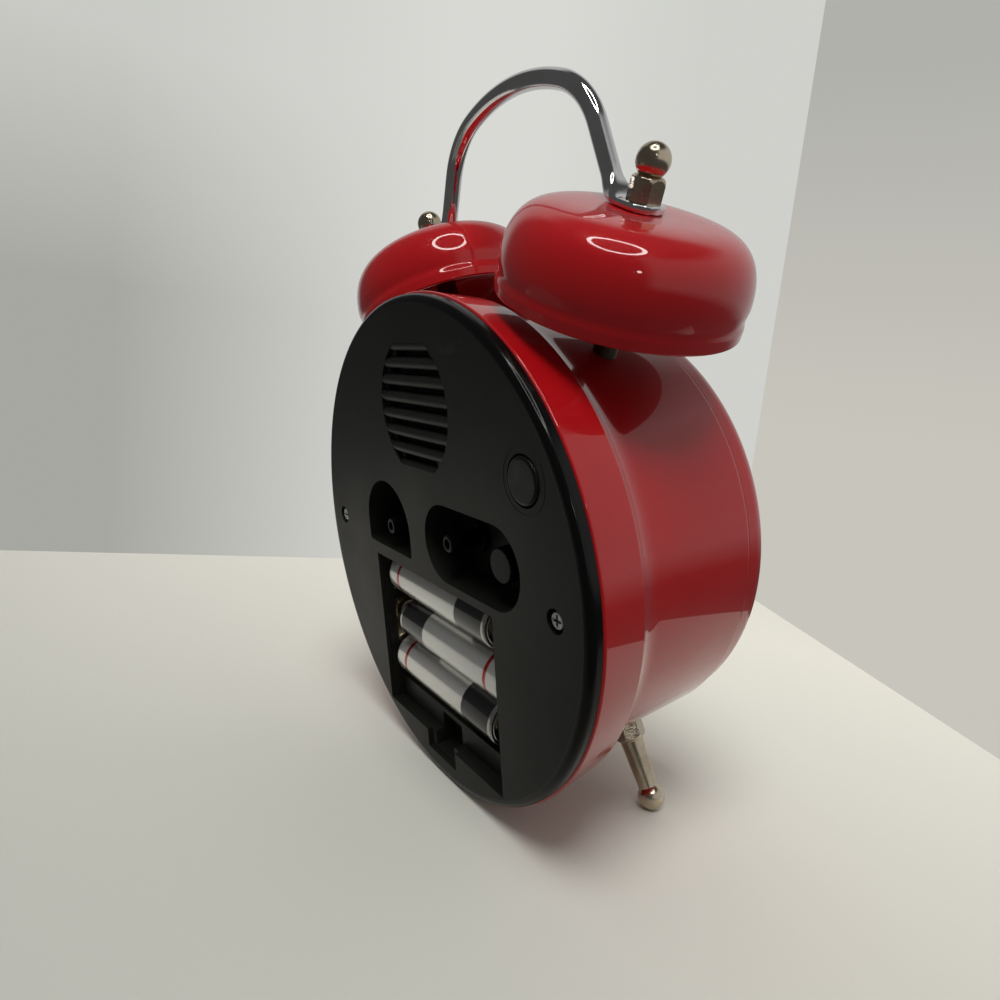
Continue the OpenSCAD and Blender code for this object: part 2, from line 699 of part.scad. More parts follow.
module back_screws() color(nickel) for (side = [-1, 1]) translate([side * screw_x, 0, 0.4])
  screw(screw_head_r, screw_r, 1.4, collar_d + sheet + 1.4);

// Bells, posts, finials and handle

module bell(side) color(red) at_bell(side) rotate_extrude() polygon(concat(
  [[stud_r + run_fit, 0]], bell_line(0),
  [for (i = [len(bell_line(sheet)) - 1:-1:0]) bell_line(sheet)[i]], [[stud_r + run_fit, -sheet]]));

module left_bell() bell(-1);
module right_bell() bell(1);

module bell_post(side) color(nickel) {
  difference() {
    at_bell(side) translate([0, 0, -post_len]) cylinder(r = post_r, h = post_len - sheet - run_fit);
    case_solid();
  }
  at_bell(side) translate([0, 0, -post_len]) cylinder(r = stud_r, h = post_len + tab_t + finial_hex - 0.6);
}

module left_bell_post() bell_post(-1);
module right_bell_post() bell_post(1);

// Nuts inside the drum, each shaped to the drum's curve
module bell_nuts() color(nickel) for (side = [-1, 1]) difference() {
  intersection() {
    at_bell(side) translate([0, 0, -post_len]) hexagon(nut_af, post_len);
    case_space();
  }
  at_bell(side) translate([0, 0, -post_len - 1]) cylinder(r = stud_r, h = post_len);
}

module finial(side) color(nickel) at_bell(side) difference() {
  union() {
    translate([0, 0, tab_t]) hexagon(finial_af, finial_hex);
    translate([0, 0, tab_t + finial_hex]) cylinder(r1 = finial_af / 2, r2 = ball_r * 0.6, h = finial_cone);
    translate([0, 0, finial_ball_h]) sphere(r = ball_r);
  }
  translate([0, 0, tab_t - 1]) cylinder(r = stud_r, h = finial_hex + 0.4);
}

module left_finial() finial(-1);
module right_finial() finial(1);

// A bend of wire in the handle's plane
module wire_bend(c, r, from, turn) translate([c[0], c[1], bell_d]) rotate([0, 0, from])
  rotate_extrude(angle = turn) translate([r, 0]) circle(r = wire_r);

// A narrow sleeve that joins two lengths of wire at p, where the wire runs at the angle a
module wire_joint(p, a) translate([p[0], p[1], bell_d]) rotate([0, 90, a])
  cylinder(r = wire_r + 0.03, h = 0.5, center = true);

module handle_side() {
  wire_joint(corner_at + handle_corner_r * [sin(crown_half), cos(crown_half)], -crown_half);
  wire_joint(leg_start, handle_slope - 90);
  wire_joint(leg_start + leg_len * leg_dir, handle_slope - 90);
  wire_bend(corner_at, handle_corner_r, handle_slope, 90 - crown_half - handle_slope);
  translate([leg_start[0], leg_start[1], bell_d]) rotate([90, 0, handle_slope]) cylinder(r = wire_r, h = leg_len);
  wire_bend(bend_at, handle_bend_r, 180 + handle_slope, 90 - bell_tilt - handle_slope);
  at_bell(1) difference() {
    linear_extrude(tab_t) {
      circle(r = tab_w / 2);
      polygon([[-tab_len - 0.6, -wire_r], [-tab_len + 2, -tab_w / 2], [0, -tab_w / 2],
        [0, tab_w / 2], [-tab_len + 2, tab_w / 2], [-tab_len - 0.6, wire_r]]);
    }
    translate([0, 0, -1]) cylinder(r = stud_r + run_fit, h = tab_t + 2);
  }
}

module handle() color(chrome) {
  wire_bend(crown_at, crown_r, 90 - crown_half, 2 * crown_half);
  handle_side();
  mirror([1, 0, 0]) handle_side();
}

// Feet

module foot(side) color(nickel) {
  difference() {
    at_foot(side) translate([0, 0, waist_r - stud_end]) hexagon(foot_af, foot_collar - waist_r + stud_end);
    case_solid();
  }
  at_foot(side) {
    translate([0, 0, foot_collar]) cylinder(r1 = foot_top_r, r2 = foot_end_r, h = foot_reach - foot_collar);
    translate([0, 0, foot_reach]) sphere(r = ball_r);
    translate([0, 0, waist_r - sheet - stud_end]) cylinder(r = stud_r, h = foot_collar - waist_r + sheet + stud_end);
  }
}

module left_foot() foot(-1);
module right_foot() foot(1);

module foot_nuts() color(nickel) for (side = [-1, 1]) difference() {
  intersection() {
    at_foot(side) translate([0, 0, waist_r - sheet - nut_h]) hexagon(nut_af, nut_h + sheet);
    case_space();
  }
  at_foot(side) cylinder(r = stud_r, h = waist_r);
}

// Cells and contacts. Each cell's nub points to one side and its spring sits at the other.
cell_sides = [1, -1, 1];

module cell(i, tint) color(tint) translate([0, cell_ys[i], cell_axis_d]) rotate([0, 90 * cell_sides[i], 0]) {
  tip = contact_face - run_fit;
  translate([0, 0, tip - cell_len]) cylinder(r = cell_r, h = cell_len - nub_len);
  translate([0, 0, tip - nub_len]) cylinder(r = nub_r, h = nub_len);
}

module top_cell() cell(0, "#d9d9d6");
module middle_cell() cell(1, "#c9c9c6");
module bottom_cell() cell(2, "#d3d3d0");

// Plates on both end walls: one joins two cells, the other serves one
module contact_plates() color(nickel) for (side = [-1, 1], pair = [0, 1]) {
  first = side < 0 ? (pair == 0 ? 0 : 2) : (pair == 0 ? 0 : 1);
  last = side < 0 ? (pair == 0 ? 1 : 2) : (pair == 0 ? 0 : 2);
  lo = side > 0 ? contact_face : -bay_w / 2;
  block([lo, cell_ys[last] - cell_r + 1, cell_axis_d - cell_r + 1.5],
    [lo + contact_t, cell_ys[first] + cell_r - 1, cell_axis_d + cell_r - 1]);
}

// A conical spring along x: straight at both ends, then curls that narrow towards the cell
spring_len = spring_room - 2 * run_fit;
spring_tip_r = spring_r * 0.5;
spring_steps = 8 * spring_curls;
spring_sides = 6;
spring_path = concat(
  [[0, spring_r, 0], [spring_wire, spring_r, 0]],
  [for (i = [1:spring_steps]) let (s = i / spring_steps, r = spring_r + (spring_tip_r - spring_r) * s)
    [spring_wire * 1.6 + (spring_len - 3.2 * spring_wire) * s, r * cos(360 * spring_curls * s),
      r * sin(360 * spring_curls * s)]],
  [[spring_len - spring_wire, spring_tip_r, 0], [spring_len, spring_tip_r, 0]]);

function unit(v) = v / norm(v);
function path_dir(p, i) = i == 0 ? unit(p[1] - p[0]) : i == len(p) - 1 ? unit(p[i] - p[i - 1]) :
  unit(unit(p[i + 1] - p[i]) + unit(p[i] - p[i - 1]));

// A tube of n sides along the points of a path, as one closed skin of triangles
module tube(p, r, n) {
  rings = [for (i = [0:len(p) - 1]) let (d = path_dir(p, i), u = unit(cross(d, abs(d[0]) > 0.9 ? [0, 0, 1] : [1, 0, 0])),
    v = cross(d, u)) for (k = [0:n - 1]) p[i] + r * (cos(360 * k / n) * u + sin(360 * k / n) * v)];
  last = (len(p) - 1) * n;
  polyhedron(rings, concat(
    [for (i = [0:len(p) - 2], k = [0:n - 1]) [i * n + k, (i + 1) * n + k, i * n + (k + 1) % n]],
    [for (i = [0:len(p) - 2], k = [0:n - 1]) [i * n + (k + 1) % n, (i + 1) * n + k, (i + 1) * n + (k + 1) % n]],
    [for (k = [1:n - 2]) [0, k, k + 1]],
    [for (k = [1:n - 2]) [last, last + k + 1, last + k]]));
}

// Least distance between curls, measured between points over half a curl apart
spring_gap = min([for (i = [0:len(spring_path) - 1], j = [0:len(spring_path) - 1]) if (j - i > 4)
  norm(spring_path[j] - spring_path[i])]) - spring_wire;
echo(spring_gap = spring_gap);

module contact_springs() color(nickel) for (i = [0:2]) translate([0, cell_ys[i], cell_axis_d])
  rotate([0, 0, cell_sides[i] > 0 ? 0 : 180]) translate([-contact_face + run_fit, 0, 0])
    tube(spring_path, spring_wire / 2, spring_sides);

// Speaker

module speaker_frame() color("#8c8f92") translate([0, grille_y, speaker_seat]) rotate_extrude() polygon([
  [speaker_r, 0], [speaker_r, speaker_rim_t], [speaker_r - 1.6, speaker_rim_t], [magnet_r, speaker_len - magnet_t],
  [magnet_r - 2, speaker_len - magnet_t], [magnet_r - 2, speaker_len - magnet_t - frame_t],
  [magnet_r - 0.6, speaker_len - magnet_t - frame_t], [speaker_r - 2.4, speaker_rim_t - 0.4], [speaker_r - 2.4, 0]]);

module speaker_cone() color("#3a3b3d") translate([0, grille_y, speaker_seat]) rotate_extrude() polygon([
  [speaker_r - cone_inset, 0], [speaker_r - cone_inset, cone_t], [cone_hub_r, cone_depth], [0, cone_depth - 2 * cone_t],
  [0, cone_depth - 3 * cone_t], [cone_hub_r, cone_depth - cone_t], [speaker_r - cone_inset - cone_t, 0]]);

module speaker_magnet() color("#5b5d60") translate([0, grille_y, speaker_seat + speaker_len - magnet_t])
  cylinder(r = magnet_r, h = magnet_t);

// Sound board and what it carries

// The board's outer edge follows the drum
module sound_board() color("#2e6b3c") difference() {
  intersection() {
    block([board_lo[0], board_lo[1], board_d], [board_hi[0], board_hi[1], board_d + board_t]);
    cylinder(r = board_r, h = board_d + board_t);
  }
  for (p = board_posts) at(p) cylinder(r = board_screw_r + run_fit, h = board_d + board_t + 1);
}

module board_screws() color(nickel) for (p = board_posts) translate([p[0], p[1], board_d + board_t + board_head_h])
  mirror([0, 0, 1]) screw(board_head_r, board_screw_r, board_head_h, board_t + screw_grip);

module sound_chip() color("#1d1d1f") translate([chip_at[0], chip_at[1], board_d + board_t]) {
  cylinder(r1 = chip_r, r2 = chip_r * 0.8, h = chip_h / 2);
  translate([0, 0, chip_h / 2]) cylinder(r1 = chip_r * 0.8, r2 = chip_r * 0.3, h = chip_h / 2);
}

module board_capacitor() color("#24345a") translate([capacitor_at[0], capacitor_at[1], board_d + board_t])
  cylinder(r = capacitor_r, h = capacitor_h);

module button_switch() color("#55575a") at(button_at) {
  rotate([0, 0, -button_angle]) translate([-switch_w / 2, -switch_w / 2, board_d - switch_h])
    cube([switch_w, switch_w, switch_h]);
  translate([0, 0, board_d - switch_h - plunger_h]) cylinder(r = 1.6, h = plunger_h);
}

module sound_button() color(black) at(button_at) {
  stem_end = board_d - switch_h - plunger_h - button_travel - clear;
  translate([0, 0, -button_proud]) cylinder(r1 = button_r - 0.4, r2 = button_r, h = 0.4);
  translate([0, 0, 0.4 - button_proud]) cylinder(r = button_r, h = plate_t + 0.8 + button_proud - 0.4);
  translate([0, 0, plate_t + 0.4 + clear]) cylinder(r = button_r + clear + moulding * 0.8, h = 0.9);
  cylinder(r = 1.6, h = stem_end);
}

module volume_control() color("#45474a") at(volume_at) difference() {
  translate([0, 0, board_d - control_h]) cylinder(r = control_r, h = control_h);
  cylinder(r = shaft_r + 0.5 + run_fit, h = board_d - 0.8);
}

// A knob with flutes cut round it, tip towards -z
module fluted(r, top, bottom, count, cut_r) difference() {
  union() {
    translate([0, 0, top]) cylinder(r1 = r - 0.3, r2 = r, h = 0.3);
    translate([0, 0, top + 0.3]) cylinder(r = r, h = bottom - top - 0.3);
  }
  for (i = [0:count - 1]) rotate([0, 0, 360 * i / count]) translate([r + cut_r * 0.45, 0, top - 1])
    cylinder(r = cut_r, h = bottom - top + 2);
}

module volume_knob() color("#333431") at(volume_at) {
  fluted(volume_knob_r, volume_sink, well_depth - clear, 18, 0.42);
  translate([0, 0, well_depth - clear - 1]) cylinder(r = shaft_r + 0.5, h = board_d - 1 - well_depth + clear + 1);
}

// A slim setting knob: a dished, fluted barrel on a wider base, bored for its shaft
module setting_knob(p) color("#333431") at(p) difference() {
  union() {
    fluted(knob_r, knob_sink, well_depth - clear, 14, 0.26);
    translate([0, 0, well_depth - clear - knob_base_t]) cylinder(r = knob_base_r, h = knob_base_t);
  }
  translate([0, 0, knob_sink - 1]) cylinder(r = shaft_r + 0.1, h = 2);
  translate([0, 0, knob_sink + 2]) cylinder(r = shaft_r, h = well_depth);
}

module time_knob() setting_knob(time_at);
module alarm_knob() setting_knob(alarm_at);

// Movement

function toward(p) = atan2(p[1], p[0]);

module time_shaft() color(brass) at(time_at) {
  translate([0, 0, knob_sink + 2]) cylinder(r = shaft_r, h = minute_z + wheel_t + wheel_gap / 2 - knob_sink - 2);
  translate([0, 0, minute_z]) linear_extrude(wheel_t) teeth(time_teeth, time_pinion_r, toward(-time_at));
}

module alarm_shaft() color(brass) at(alarm_at) {
  translate([0, 0, knob_sink + 2]) cylinder(r = shaft_r, h = movement_front_d - knob_sink - 2);
  translate([0, 0, alarm_z]) linear_extrude(wheel_t) teeth(alarm_teeth, alarm_pinion_r, toward(-alarm_at));
}

module second_wheel() color(brass) {
  translate([0, 0, movement_d]) cylinder(r = second_arbor_r, h = second_hand_z - movement_d);
  translate([0, 0, second_z]) linear_extrude(wheel_t) teeth(second_teeth, second_wheel_r, step_angle);
}

// Wheel and tube that carry a hand: z runs from the wheel to the hand
module hand_tube(bore, outer, from, upto) translate([0, 0, from]) ring(outer, bore, upto - from);

module bored(bore) difference() {
  children();
  translate([0, 0, -1]) cylinder(r = bore, h = 2 * front_d);
}

module minute_wheel() color(brass) {
  bored(minute_bore_r) {
    translate([0, 0, minute_z]) linear_extrude(wheel_t) gap_teeth(minute_teeth, minute_wheel_r, toward(time_at));
    translate([0, 0, minute_z + wheel_t]) linear_extrude(wheel_gap + wheel_t)
      teeth(cannon_teeth, cannon_r, motion_angle);
  }
  hand_tube(minute_bore_r, minute_tube_r, minute_z + wheel_t, minute_hand_z);
}

module motion_wheel() color(brass) at(motion_at) bored(pivot_r + run_fit) {
  translate([0, 0, motion_z]) linear_extrude(wheel_t) gap_teeth(motion_teeth, motion_wheel_r, motion_angle + 180);
  translate([0, 0, motion_z + wheel_t]) linear_extrude(wheel_gap + wheel_t)
    teeth(motion_pinion_teeth, motion_pinion_r, motion_angle + 180);
}

module hour_wheel() color(brass) {
  bored(hour_bore_r) translate([0, 0, hour_z]) linear_extrude(wheel_t)
    gap_teeth(hour_teeth, hour_wheel_r, motion_angle);
  hand_tube(hour_bore_r, hour_tube_r, hour_z, hour_hand_z);
}

module alarm_wheel() color(brass) {
  bored(alarm_bore_r) translate([0, 0, alarm_z]) linear_extrude(wheel_t)
    gap_teeth(alarm_wheel_teeth, alarm_wheel_r, toward(alarm_at));
  hand_tube(alarm_bore_r, alarm_tube_r, alarm_z, alarm_hand_z);
}

module step_wheel() color("#e8e2cf") at(step_at) bored(pivot_r + run_fit) {
  translate([0, 0, second_z]) linear_extrude(wheel_t + wheel_gap)
    gap_teeth(step_pinion_teeth, step_pinion_r * 1.001, step_angle + 180);
  translate([0, 0, step_z]) linear_extrude(wheel_t) teeth(step_teeth, step_wheel_r, rotor_angle);
}

module rotor() color("#6a6c70") at(rotor_at) difference() {
  union() {
    translate([0, 0, step_z]) linear_extrude(wheel_t + wheel_gap)
      gap_teeth(rotor_teeth, rotor_pinion_r * 1.001, rotor_angle + 180);
    translate([0, 0, step_z + wheel_t + wheel_gap]) cylinder(r = rotor_r, h = 2.4);
  }
  cylinder(r = 0.4 + run_fit, h = front_d);
}

stator_z = step_z + wheel_t + wheel_gap + 0.6;
stator_half = rotor_r + clear + 1;

module stator() color("#9a9c9f") difference() {
  block([rotor_at[0] - stator_half, rotor_at[1] - stator_half, stator_z],
    [rotor_at[0] + stator_half, coil_y + 1.2, stator_z + 0.8]);
  at(rotor_at) cylinder(r = rotor_r + clear, h = front_d);
}

// Copper winding between two flanges, which rests on the stator
module stepper_coil() color("#a4562c") translate([rotor_at[0], coil_y, stator_z + 0.8 + coil_r - flange_step])
  rotate([0, 90, 0]) {
  len = 2 * stator_half + 4;
  translate([0, 0, -len / 2]) cylinder(r = coil_r - flange_step, h = len);
  for (side = [-1, 1]) translate([0, 0, side * (len / 2 - 0.4) - 0.4]) cylinder(r = coil_r, h = 0.8);
}

module house_box(lo, hi) block([house_lo[0], house_lo[1], lo], [house_hi[0], house_hi[1], hi]);

module house_room(lo, hi) block([house_lo[0] + housing_t, house_lo[1] + housing_t, lo],
  [house_hi[0] - housing_t, house_hi[1] - housing_t, hi]);

// Rear half of the housing, with the pins on which the small wheels turn
module movement_back() color("#d8d4c6") difference() {
  union() {
    difference() {
      house_box(movement_d, house_split);
      house_room(floor_d, house_split + 1);
    }
    at(motion_at) translate([0, 0, floor_d]) cylinder(r = pivot_r, h = alarm_z - wheel_gap / 2 - floor_d);
    at(motion_at) translate([0, 0, floor_d]) cylinder(r = pivot_r + 0.7, h = motion_z - wheel_gap / 2 - floor_d);
    at(step_at) translate([0, 0, floor_d]) cylinder(r = pivot_r, h = minute_z - wheel_gap / 2 - floor_d);
    at(rotor_at) translate([0, 0, floor_d]) cylinder(r = 0.4, h = stator_z + 2 - floor_d);
    at(rotor_at) translate([0, 0, floor_d]) cylinder(r = 1.2, h = step_z - wheel_gap / 2 - floor_d);
    for (dx = [-stator_half + 1, stator_half - 1]) translate([rotor_at[0] + dx, coil_y, floor_d])
      cylinder(r = 0.9, h = stator_z - floor_d);
    for (q = [2, quartz_size[0] - 2]) translate([quartz_lo[0] + q, quartz_lo[1] + quartz_size[1] / 2, floor_d])
      cylinder(r = 1.5, h = quartz_post_h);
  }
  translate([0, 0, movement_d - 1]) cylinder(r = second_arbor_r + run_fit, h = 4);
  for (p = [time_at, alarm_at]) at(p) translate([0, 0, movement_d - 1]) cylinder(r = shaft_r + run_fit, h = 4);
}

// Front half of the housing, with the threaded bush that passes through the dial
module movement_front() color("#d8d4c6") difference() {
  union() {
    difference() {
      house_box(house_split, movement_front_d);
      house_room(house_split - 1, roof_d);
    }
    translate([0, 0, roof_d]) cylinder(r = bush_r, h = bush_end - roof_d);
    translate([0, 0, roof_d]) cylinder(r = bush_r + 2, h = dial_d - roof_d);
  }
  translate([0, 0, roof_d - 1]) cylinder(r = bush_bore_r, h = bush_end);
  at(alarm_at) translate([0, 0, roof_d - 1]) cylinder(r = shaft_r + run_fit, h = 4);
}

module quartz_board() color("#3c7a4a") translate([quartz_lo[0], quartz_lo[1], floor_d + quartz_post_h]) {
  cube([quartz_size[0], quartz_size[1], quartz_t]);
  translate([crystal_at[0], crystal_at[1], quartz_t + crystal_r * 0.9]) rotate([0, 90, 0])
    cylinder(r = crystal_r, h = crystal_len);
  translate([driver_at[0], driver_at[1], quartz_t]) cylinder(r = driver_r, h = driver_h);
}

// Hands: a hub and a tapering blade that points up at twelve

module hand(tube_r, hub_r, blade_len, root_w, tip_w, z, tail = 0) translate([0, 0, z]) difference() {
  linear_extrude(hand_t) {
    circle(r = hub_r);
    polygon([[-root_w / 2, -tail], [root_w / 2, -tail], [root_w / 2, 0], [tip_w / 2, blade_len], [-tip_w / 2, blade_len],
      [-root_w / 2, 0]]);
  }
  translate([0, 0, -1]) cylinder(r = tube_r, h = hand_t + 2);
}

module alarm_hand() color("#b3262a") rotate([0, 0, -180])
  hand(alarm_bore_r, alarm_tube_r + 1, alarm_len, 2, 1, alarm_hand_z);
module hour_hand() color("#1c1c1e") rotate([0, 0, 60])
  hand(hour_bore_r, hour_tube_r + 1.2, hour_len, 3.6, 1.6, hour_hand_z);
module minute_hand() color("#1c1c1e") rotate([0, 0, -60])
  hand(minute_bore_r, minute_tube_r + 1.4, minute_len, 3, 1.2, minute_hand_z);
module second_hand() color("#b3262a") translate([0, 0, second_hand_z]) rotate([0, 0, 150]) linear_extrude(hand_t) {
  circle(r = second_arbor_r + 1.3);
  polygon([[-0.7, -second_tail], [0.7, -second_tail], [0.3, second_len], [-0.3, second_len]]);
}

// Placement
stand() case_shell();
stand() front_bezel();
stand() lens();
stand() dial();
stand() dial_ring();
stand() dial_retainer();
stand() back_plate();
stand() back_screws();
stand() left_bell();
stand() right_bell();
stand() left_bell_post();
stand() right_bell_post();
stand() bell_nuts();
stand() left_finial();
stand() right_finial();
stand() handle();
stand() left_foot();
stand() right_foot();
stand() foot_nuts();
stand() top_cell();
stand() middle_cell();
stand() bottom_cell();
stand() contact_plates();
stand() contact_springs();
stand() speaker_frame();
stand() speaker_cone();
stand() speaker_magnet();
stand() sound_board();
stand() sound_chip();
stand() board_capacitor();
stand() board_screws();
stand() button_switch();
stand() sound_button();
stand() volume_control();
stand() volume_knob();
stand() time_knob();
stand() time_shaft();
stand() alarm_knob();
stand() alarm_shaft();
stand() movement_back();
stand() movement_front();
stand() stator();
stand() stepper_coil();
stand() rotor();
stand() step_wheel();
stand() second_wheel();
stand() second_hand();
stand() minute_wheel();
stand() minute_hand();
stand() motion_wheel();
stand() hour_wheel();
stand() hour_hand();
stand() alarm_wheel();
stand() alarm_hand();
stand() quartz_board();
stand() dial_nut();
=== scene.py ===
"""Twin-bell alarm clock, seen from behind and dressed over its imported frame.

Places and sizes are millimetres in the clock's own frame: x to the right as seen from the dial, y up along the dial,
depth from the back plate at 0 towards the dial. in_row() turns them into the row's metres.
"""

import json
import math

import bmesh
import bpy
import numpy as np
from mathutils import Matrix, Vector


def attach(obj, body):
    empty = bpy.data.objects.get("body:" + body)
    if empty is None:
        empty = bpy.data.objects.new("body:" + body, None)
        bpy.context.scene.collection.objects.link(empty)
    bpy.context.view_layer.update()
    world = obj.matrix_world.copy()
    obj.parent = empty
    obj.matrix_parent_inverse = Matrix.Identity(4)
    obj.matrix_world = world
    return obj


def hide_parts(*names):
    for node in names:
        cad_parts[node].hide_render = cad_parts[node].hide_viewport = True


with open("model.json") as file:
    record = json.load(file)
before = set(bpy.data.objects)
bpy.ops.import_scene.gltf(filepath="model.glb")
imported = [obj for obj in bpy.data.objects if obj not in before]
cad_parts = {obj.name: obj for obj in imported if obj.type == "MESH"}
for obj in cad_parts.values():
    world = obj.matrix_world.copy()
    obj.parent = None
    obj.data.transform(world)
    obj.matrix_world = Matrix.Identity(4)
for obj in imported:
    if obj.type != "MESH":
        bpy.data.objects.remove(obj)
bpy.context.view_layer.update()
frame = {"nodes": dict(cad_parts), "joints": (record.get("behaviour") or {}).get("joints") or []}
nodes = frame["nodes"]
joints = {joint["name"]: joint for joint in frame["joints"]}

# The clock's own frame, from the axis on which the hands turn
MM = 0.001
HUB_DEPTH = 30.0
DIAL_WAY = np.array(joints["minute_turn"]["axis"], float)
UP_WAY = np.array([0.0, DIAL_WAY[2], -DIAL_WAY[1]])
RIGHT_WAY = np.array([1.0, 0.0, 0.0])
BASIS = np.stack([RIGHT_WAY, UP_WAY, DIAL_WAY])
HUB = np.array(joints["minute_turn"]["pos_m"], float) - HUB_DEPTH * MM * DIAL_WAY

X, DEPTH = np.eye(3)[[0, 2]]


def in_row(points):
    """Points of the clock's frame, in millimetres, as points of the row, in metres."""
    return HUB + MM * np.asarray(points, float) @ BASIS


# Sizes shared with the CAD source
SHEET = 0.9
BAND_R, RIDGE_R, RIDGE_D, WAIST_R, DRUM_R, DRUM_D = 54.4, 53.0, 12.6, 48.9, 47.9, 46.2
COVE_RUN, COVE_R = 3.4, 9.4
PLATE_RIM, EDGE_ROUND = 2.6, 0.6
FRONT_D, OPENING_R, LENS_R, LENS_D, LENS_T = 54.3, 41.4, 43.3, 51.4, 1.5
DIAL_FACE = 46.0
BELL_OUT, BELL_ANGLE, BELL_D, BELL_TILT = WAIST_R + 25.3, math.radians(29.1), 28.7, math.radians(22.5)
BELL_X, BELL_Y = BELL_OUT * math.sin(BELL_ANGLE), BELL_OUT * math.cos(BELL_ANGLE)
BELL_R, BELL_H, DOME_H, LIP_H, LIP_IN = 23.0, 16.9, 11.5, 3.4, 0.3
DOME_POWER = 6.0
HANDLE_TOP, CROWN_R, CROWN_HALF = BELL_Y + 28.58, 44.5, math.radians(21)
CORNER_R, LEG_SLOPE, BEND_R, WIRE_R = 16.6, math.radians(20.5), 4.5, 1.9
TAB_T, TAB_W, TAB_LIFT, PRESS_LEAD, PRESS_RUN = 1.5, 8.0, 2.02, 4.4, 7.8
FINIAL_AF, FINIAL_HEX, BALL_R = 5.5, 3.4, 3.0
FOOT_ANGLE, FOOT_D, FOOT_REACH = math.radians(28), 36.0, 65.5
FOOT_AF, FOOT_COLLAR, FOOT_TOP_R, FOOT_END_R = 6.2, 52.4, 2.7, 2.1
CELL_R, CELL_LEN, CELL_NUB_R, CELL_NUB = 5.25, 44.5, 1.9, 0.9
CELL_DEPTH, CELL_TIP, CELL_YS, CELL_SIDES = 6.7, 24.5, (-11.45, -22.45, -33.45), (1, -1, 1)
SPRING_R, SPRING_TIP_R, SPRING_CURLS, SPRING_LEN, SPRING_WIRE, SPRING_FACE = 3.4, 1.7, 3, 4.5, 0.45, 24.55
BUTTON_OUT, BUTTON_ANGLE = 44.1, math.radians(30.5)


# Meshes

CREASE = 34


def grid_faces(rows, cols):
    """Four-sided faces between neighbouring points of a grid."""
    i, j = np.meshgrid(np.arange(rows - 1), np.arange(cols - 1), indexing="ij")
    below, above = i * cols + j, (i + 1) * cols + j
    return np.stack([below, below + 1, above + 1, above], -1).reshape(-1, 4)


def piece(name, points, faces, finish, slot, body="clock", uv=None, crease=CREASE, stands_for=()):
    """One object from points in the clock's frame. Doubled points are merged, so seams and poles close."""
    mesh = bpy.data.meshes.new(name)
    mesh.from_pydata(in_row(points).tolist(), [], faces.tolist())
    if uv is not None:
        layer = mesh.uv_layers.new(name="UVMap")
        layer.data.foreach_set("uv", uv[faces.ravel()].astype(np.float32).ravel())
    work = bmesh.new()
    work.from_mesh(mesh)
    bmesh.ops.remove_doubles(work, verts=work.verts, dist=2e-7)
    bmesh.ops.recalc_face_normals(work, faces=work.faces)
    work.to_mesh(mesh)
    work.free()
    return finished(name, mesh, finish, body, crease, stands_for)


def finished(name, mesh, finish, body, crease, stands_for):
    """Links a mesh as a smooth-shaded piece that rides on a body and stands for the CAD nodes it hides."""
    mesh.shade_smooth()
    mesh.set_sharp_from_angle(angle=math.radians(crease))
    mesh.materials.append(finish)
    thing = bpy.data.objects.new(name, mesh)
    bpy.context.scene.collection.objects.link(thing)
    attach(thing, body)
    if stands_for:
        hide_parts(*stands_for)
    return thing


def rounded(corners, steps=7):
    """An open outline through corners (a, b, fillet): each corner is an arc tangent to both sides, with a point just
    off each arc's ends that keeps the straight parts flat when shaded smooth."""
    at = np.array([c[:2] for c in corners], float)
    out = [at[:1]]
    for k in range(1, len(at) - 1):
        back, ahead = at[k - 1] - at[k], at[k + 1] - at[k]
        room_back, room_ahead = np.linalg.norm(back), np.linalg.norm(ahead)
        back, ahead = back / room_back, ahead / room_ahead
        half = math.acos(np.clip(back @ ahead, -1, 1)) / 2
        cut = corners[k][2] / math.tan(half)
        if cut < 1e-6:
            out.append(at[k: k + 1])
            continue
        middle = (back + ahead) / np.linalg.norm(back + ahead) * corners[k][2] / math.sin(half)
        turn = np.linspace(-1, 1, steps) * (math.pi / 2 - half)
        outward = -(back + ahead) / np.linalg.norm(back + ahead)
        along = (ahead - back) / np.linalg.norm(ahead - back)
        arc = at[k] + middle + corners[k][2] * (np.cos(turn)[:, None] * outward + np.sin(turn)[:, None] * along)
        guard = 0.12 * cut
        out += [at[k: k + 1] + back * (cut + guard), arc, at[k: k + 1] + ahead * (cut + guard)]
    out.append(at[-1:])
    return np.vstack(out)


def lathe(profile, origin, axis, start, turns=144):
    """A profile of (radius, height) turned about an axis; start is the direction of angle 0."""
    angle = np.linspace(0, 2 * math.pi, turns + 1)
    side = np.cross(axis, start)
    ray = np.cos(angle)[:, None] * start + np.sin(angle)[:, None] * side
    points = origin + profile[:, None, :1] * ray[None] + profile[:, None, 1:] * axis
    return points.reshape(-1, 3), angle


def turned(name, profile, finish, slot, origin=(0, 0, 0), axis=DEPTH, start=X, turns=144, **more):
    """A lathe piece. Its map runs round in u and along the profile's own length in v, both from 0 to 1."""
    points, angle = lathe(profile, np.asarray(origin, float), axis, start, turns)
    length = np.concatenate([[0], np.cumsum(np.linalg.norm(np.diff(profile, axis=0), axis=1))])
    u, v = np.meshgrid(angle / (2 * math.pi), length / length[-1])
    uv = np.stack([u.ravel(), v.ravel()], -1)
    return piece(name, points, grid_faces(len(profile), turns + 1), finish, slot, uv=uv, **more)


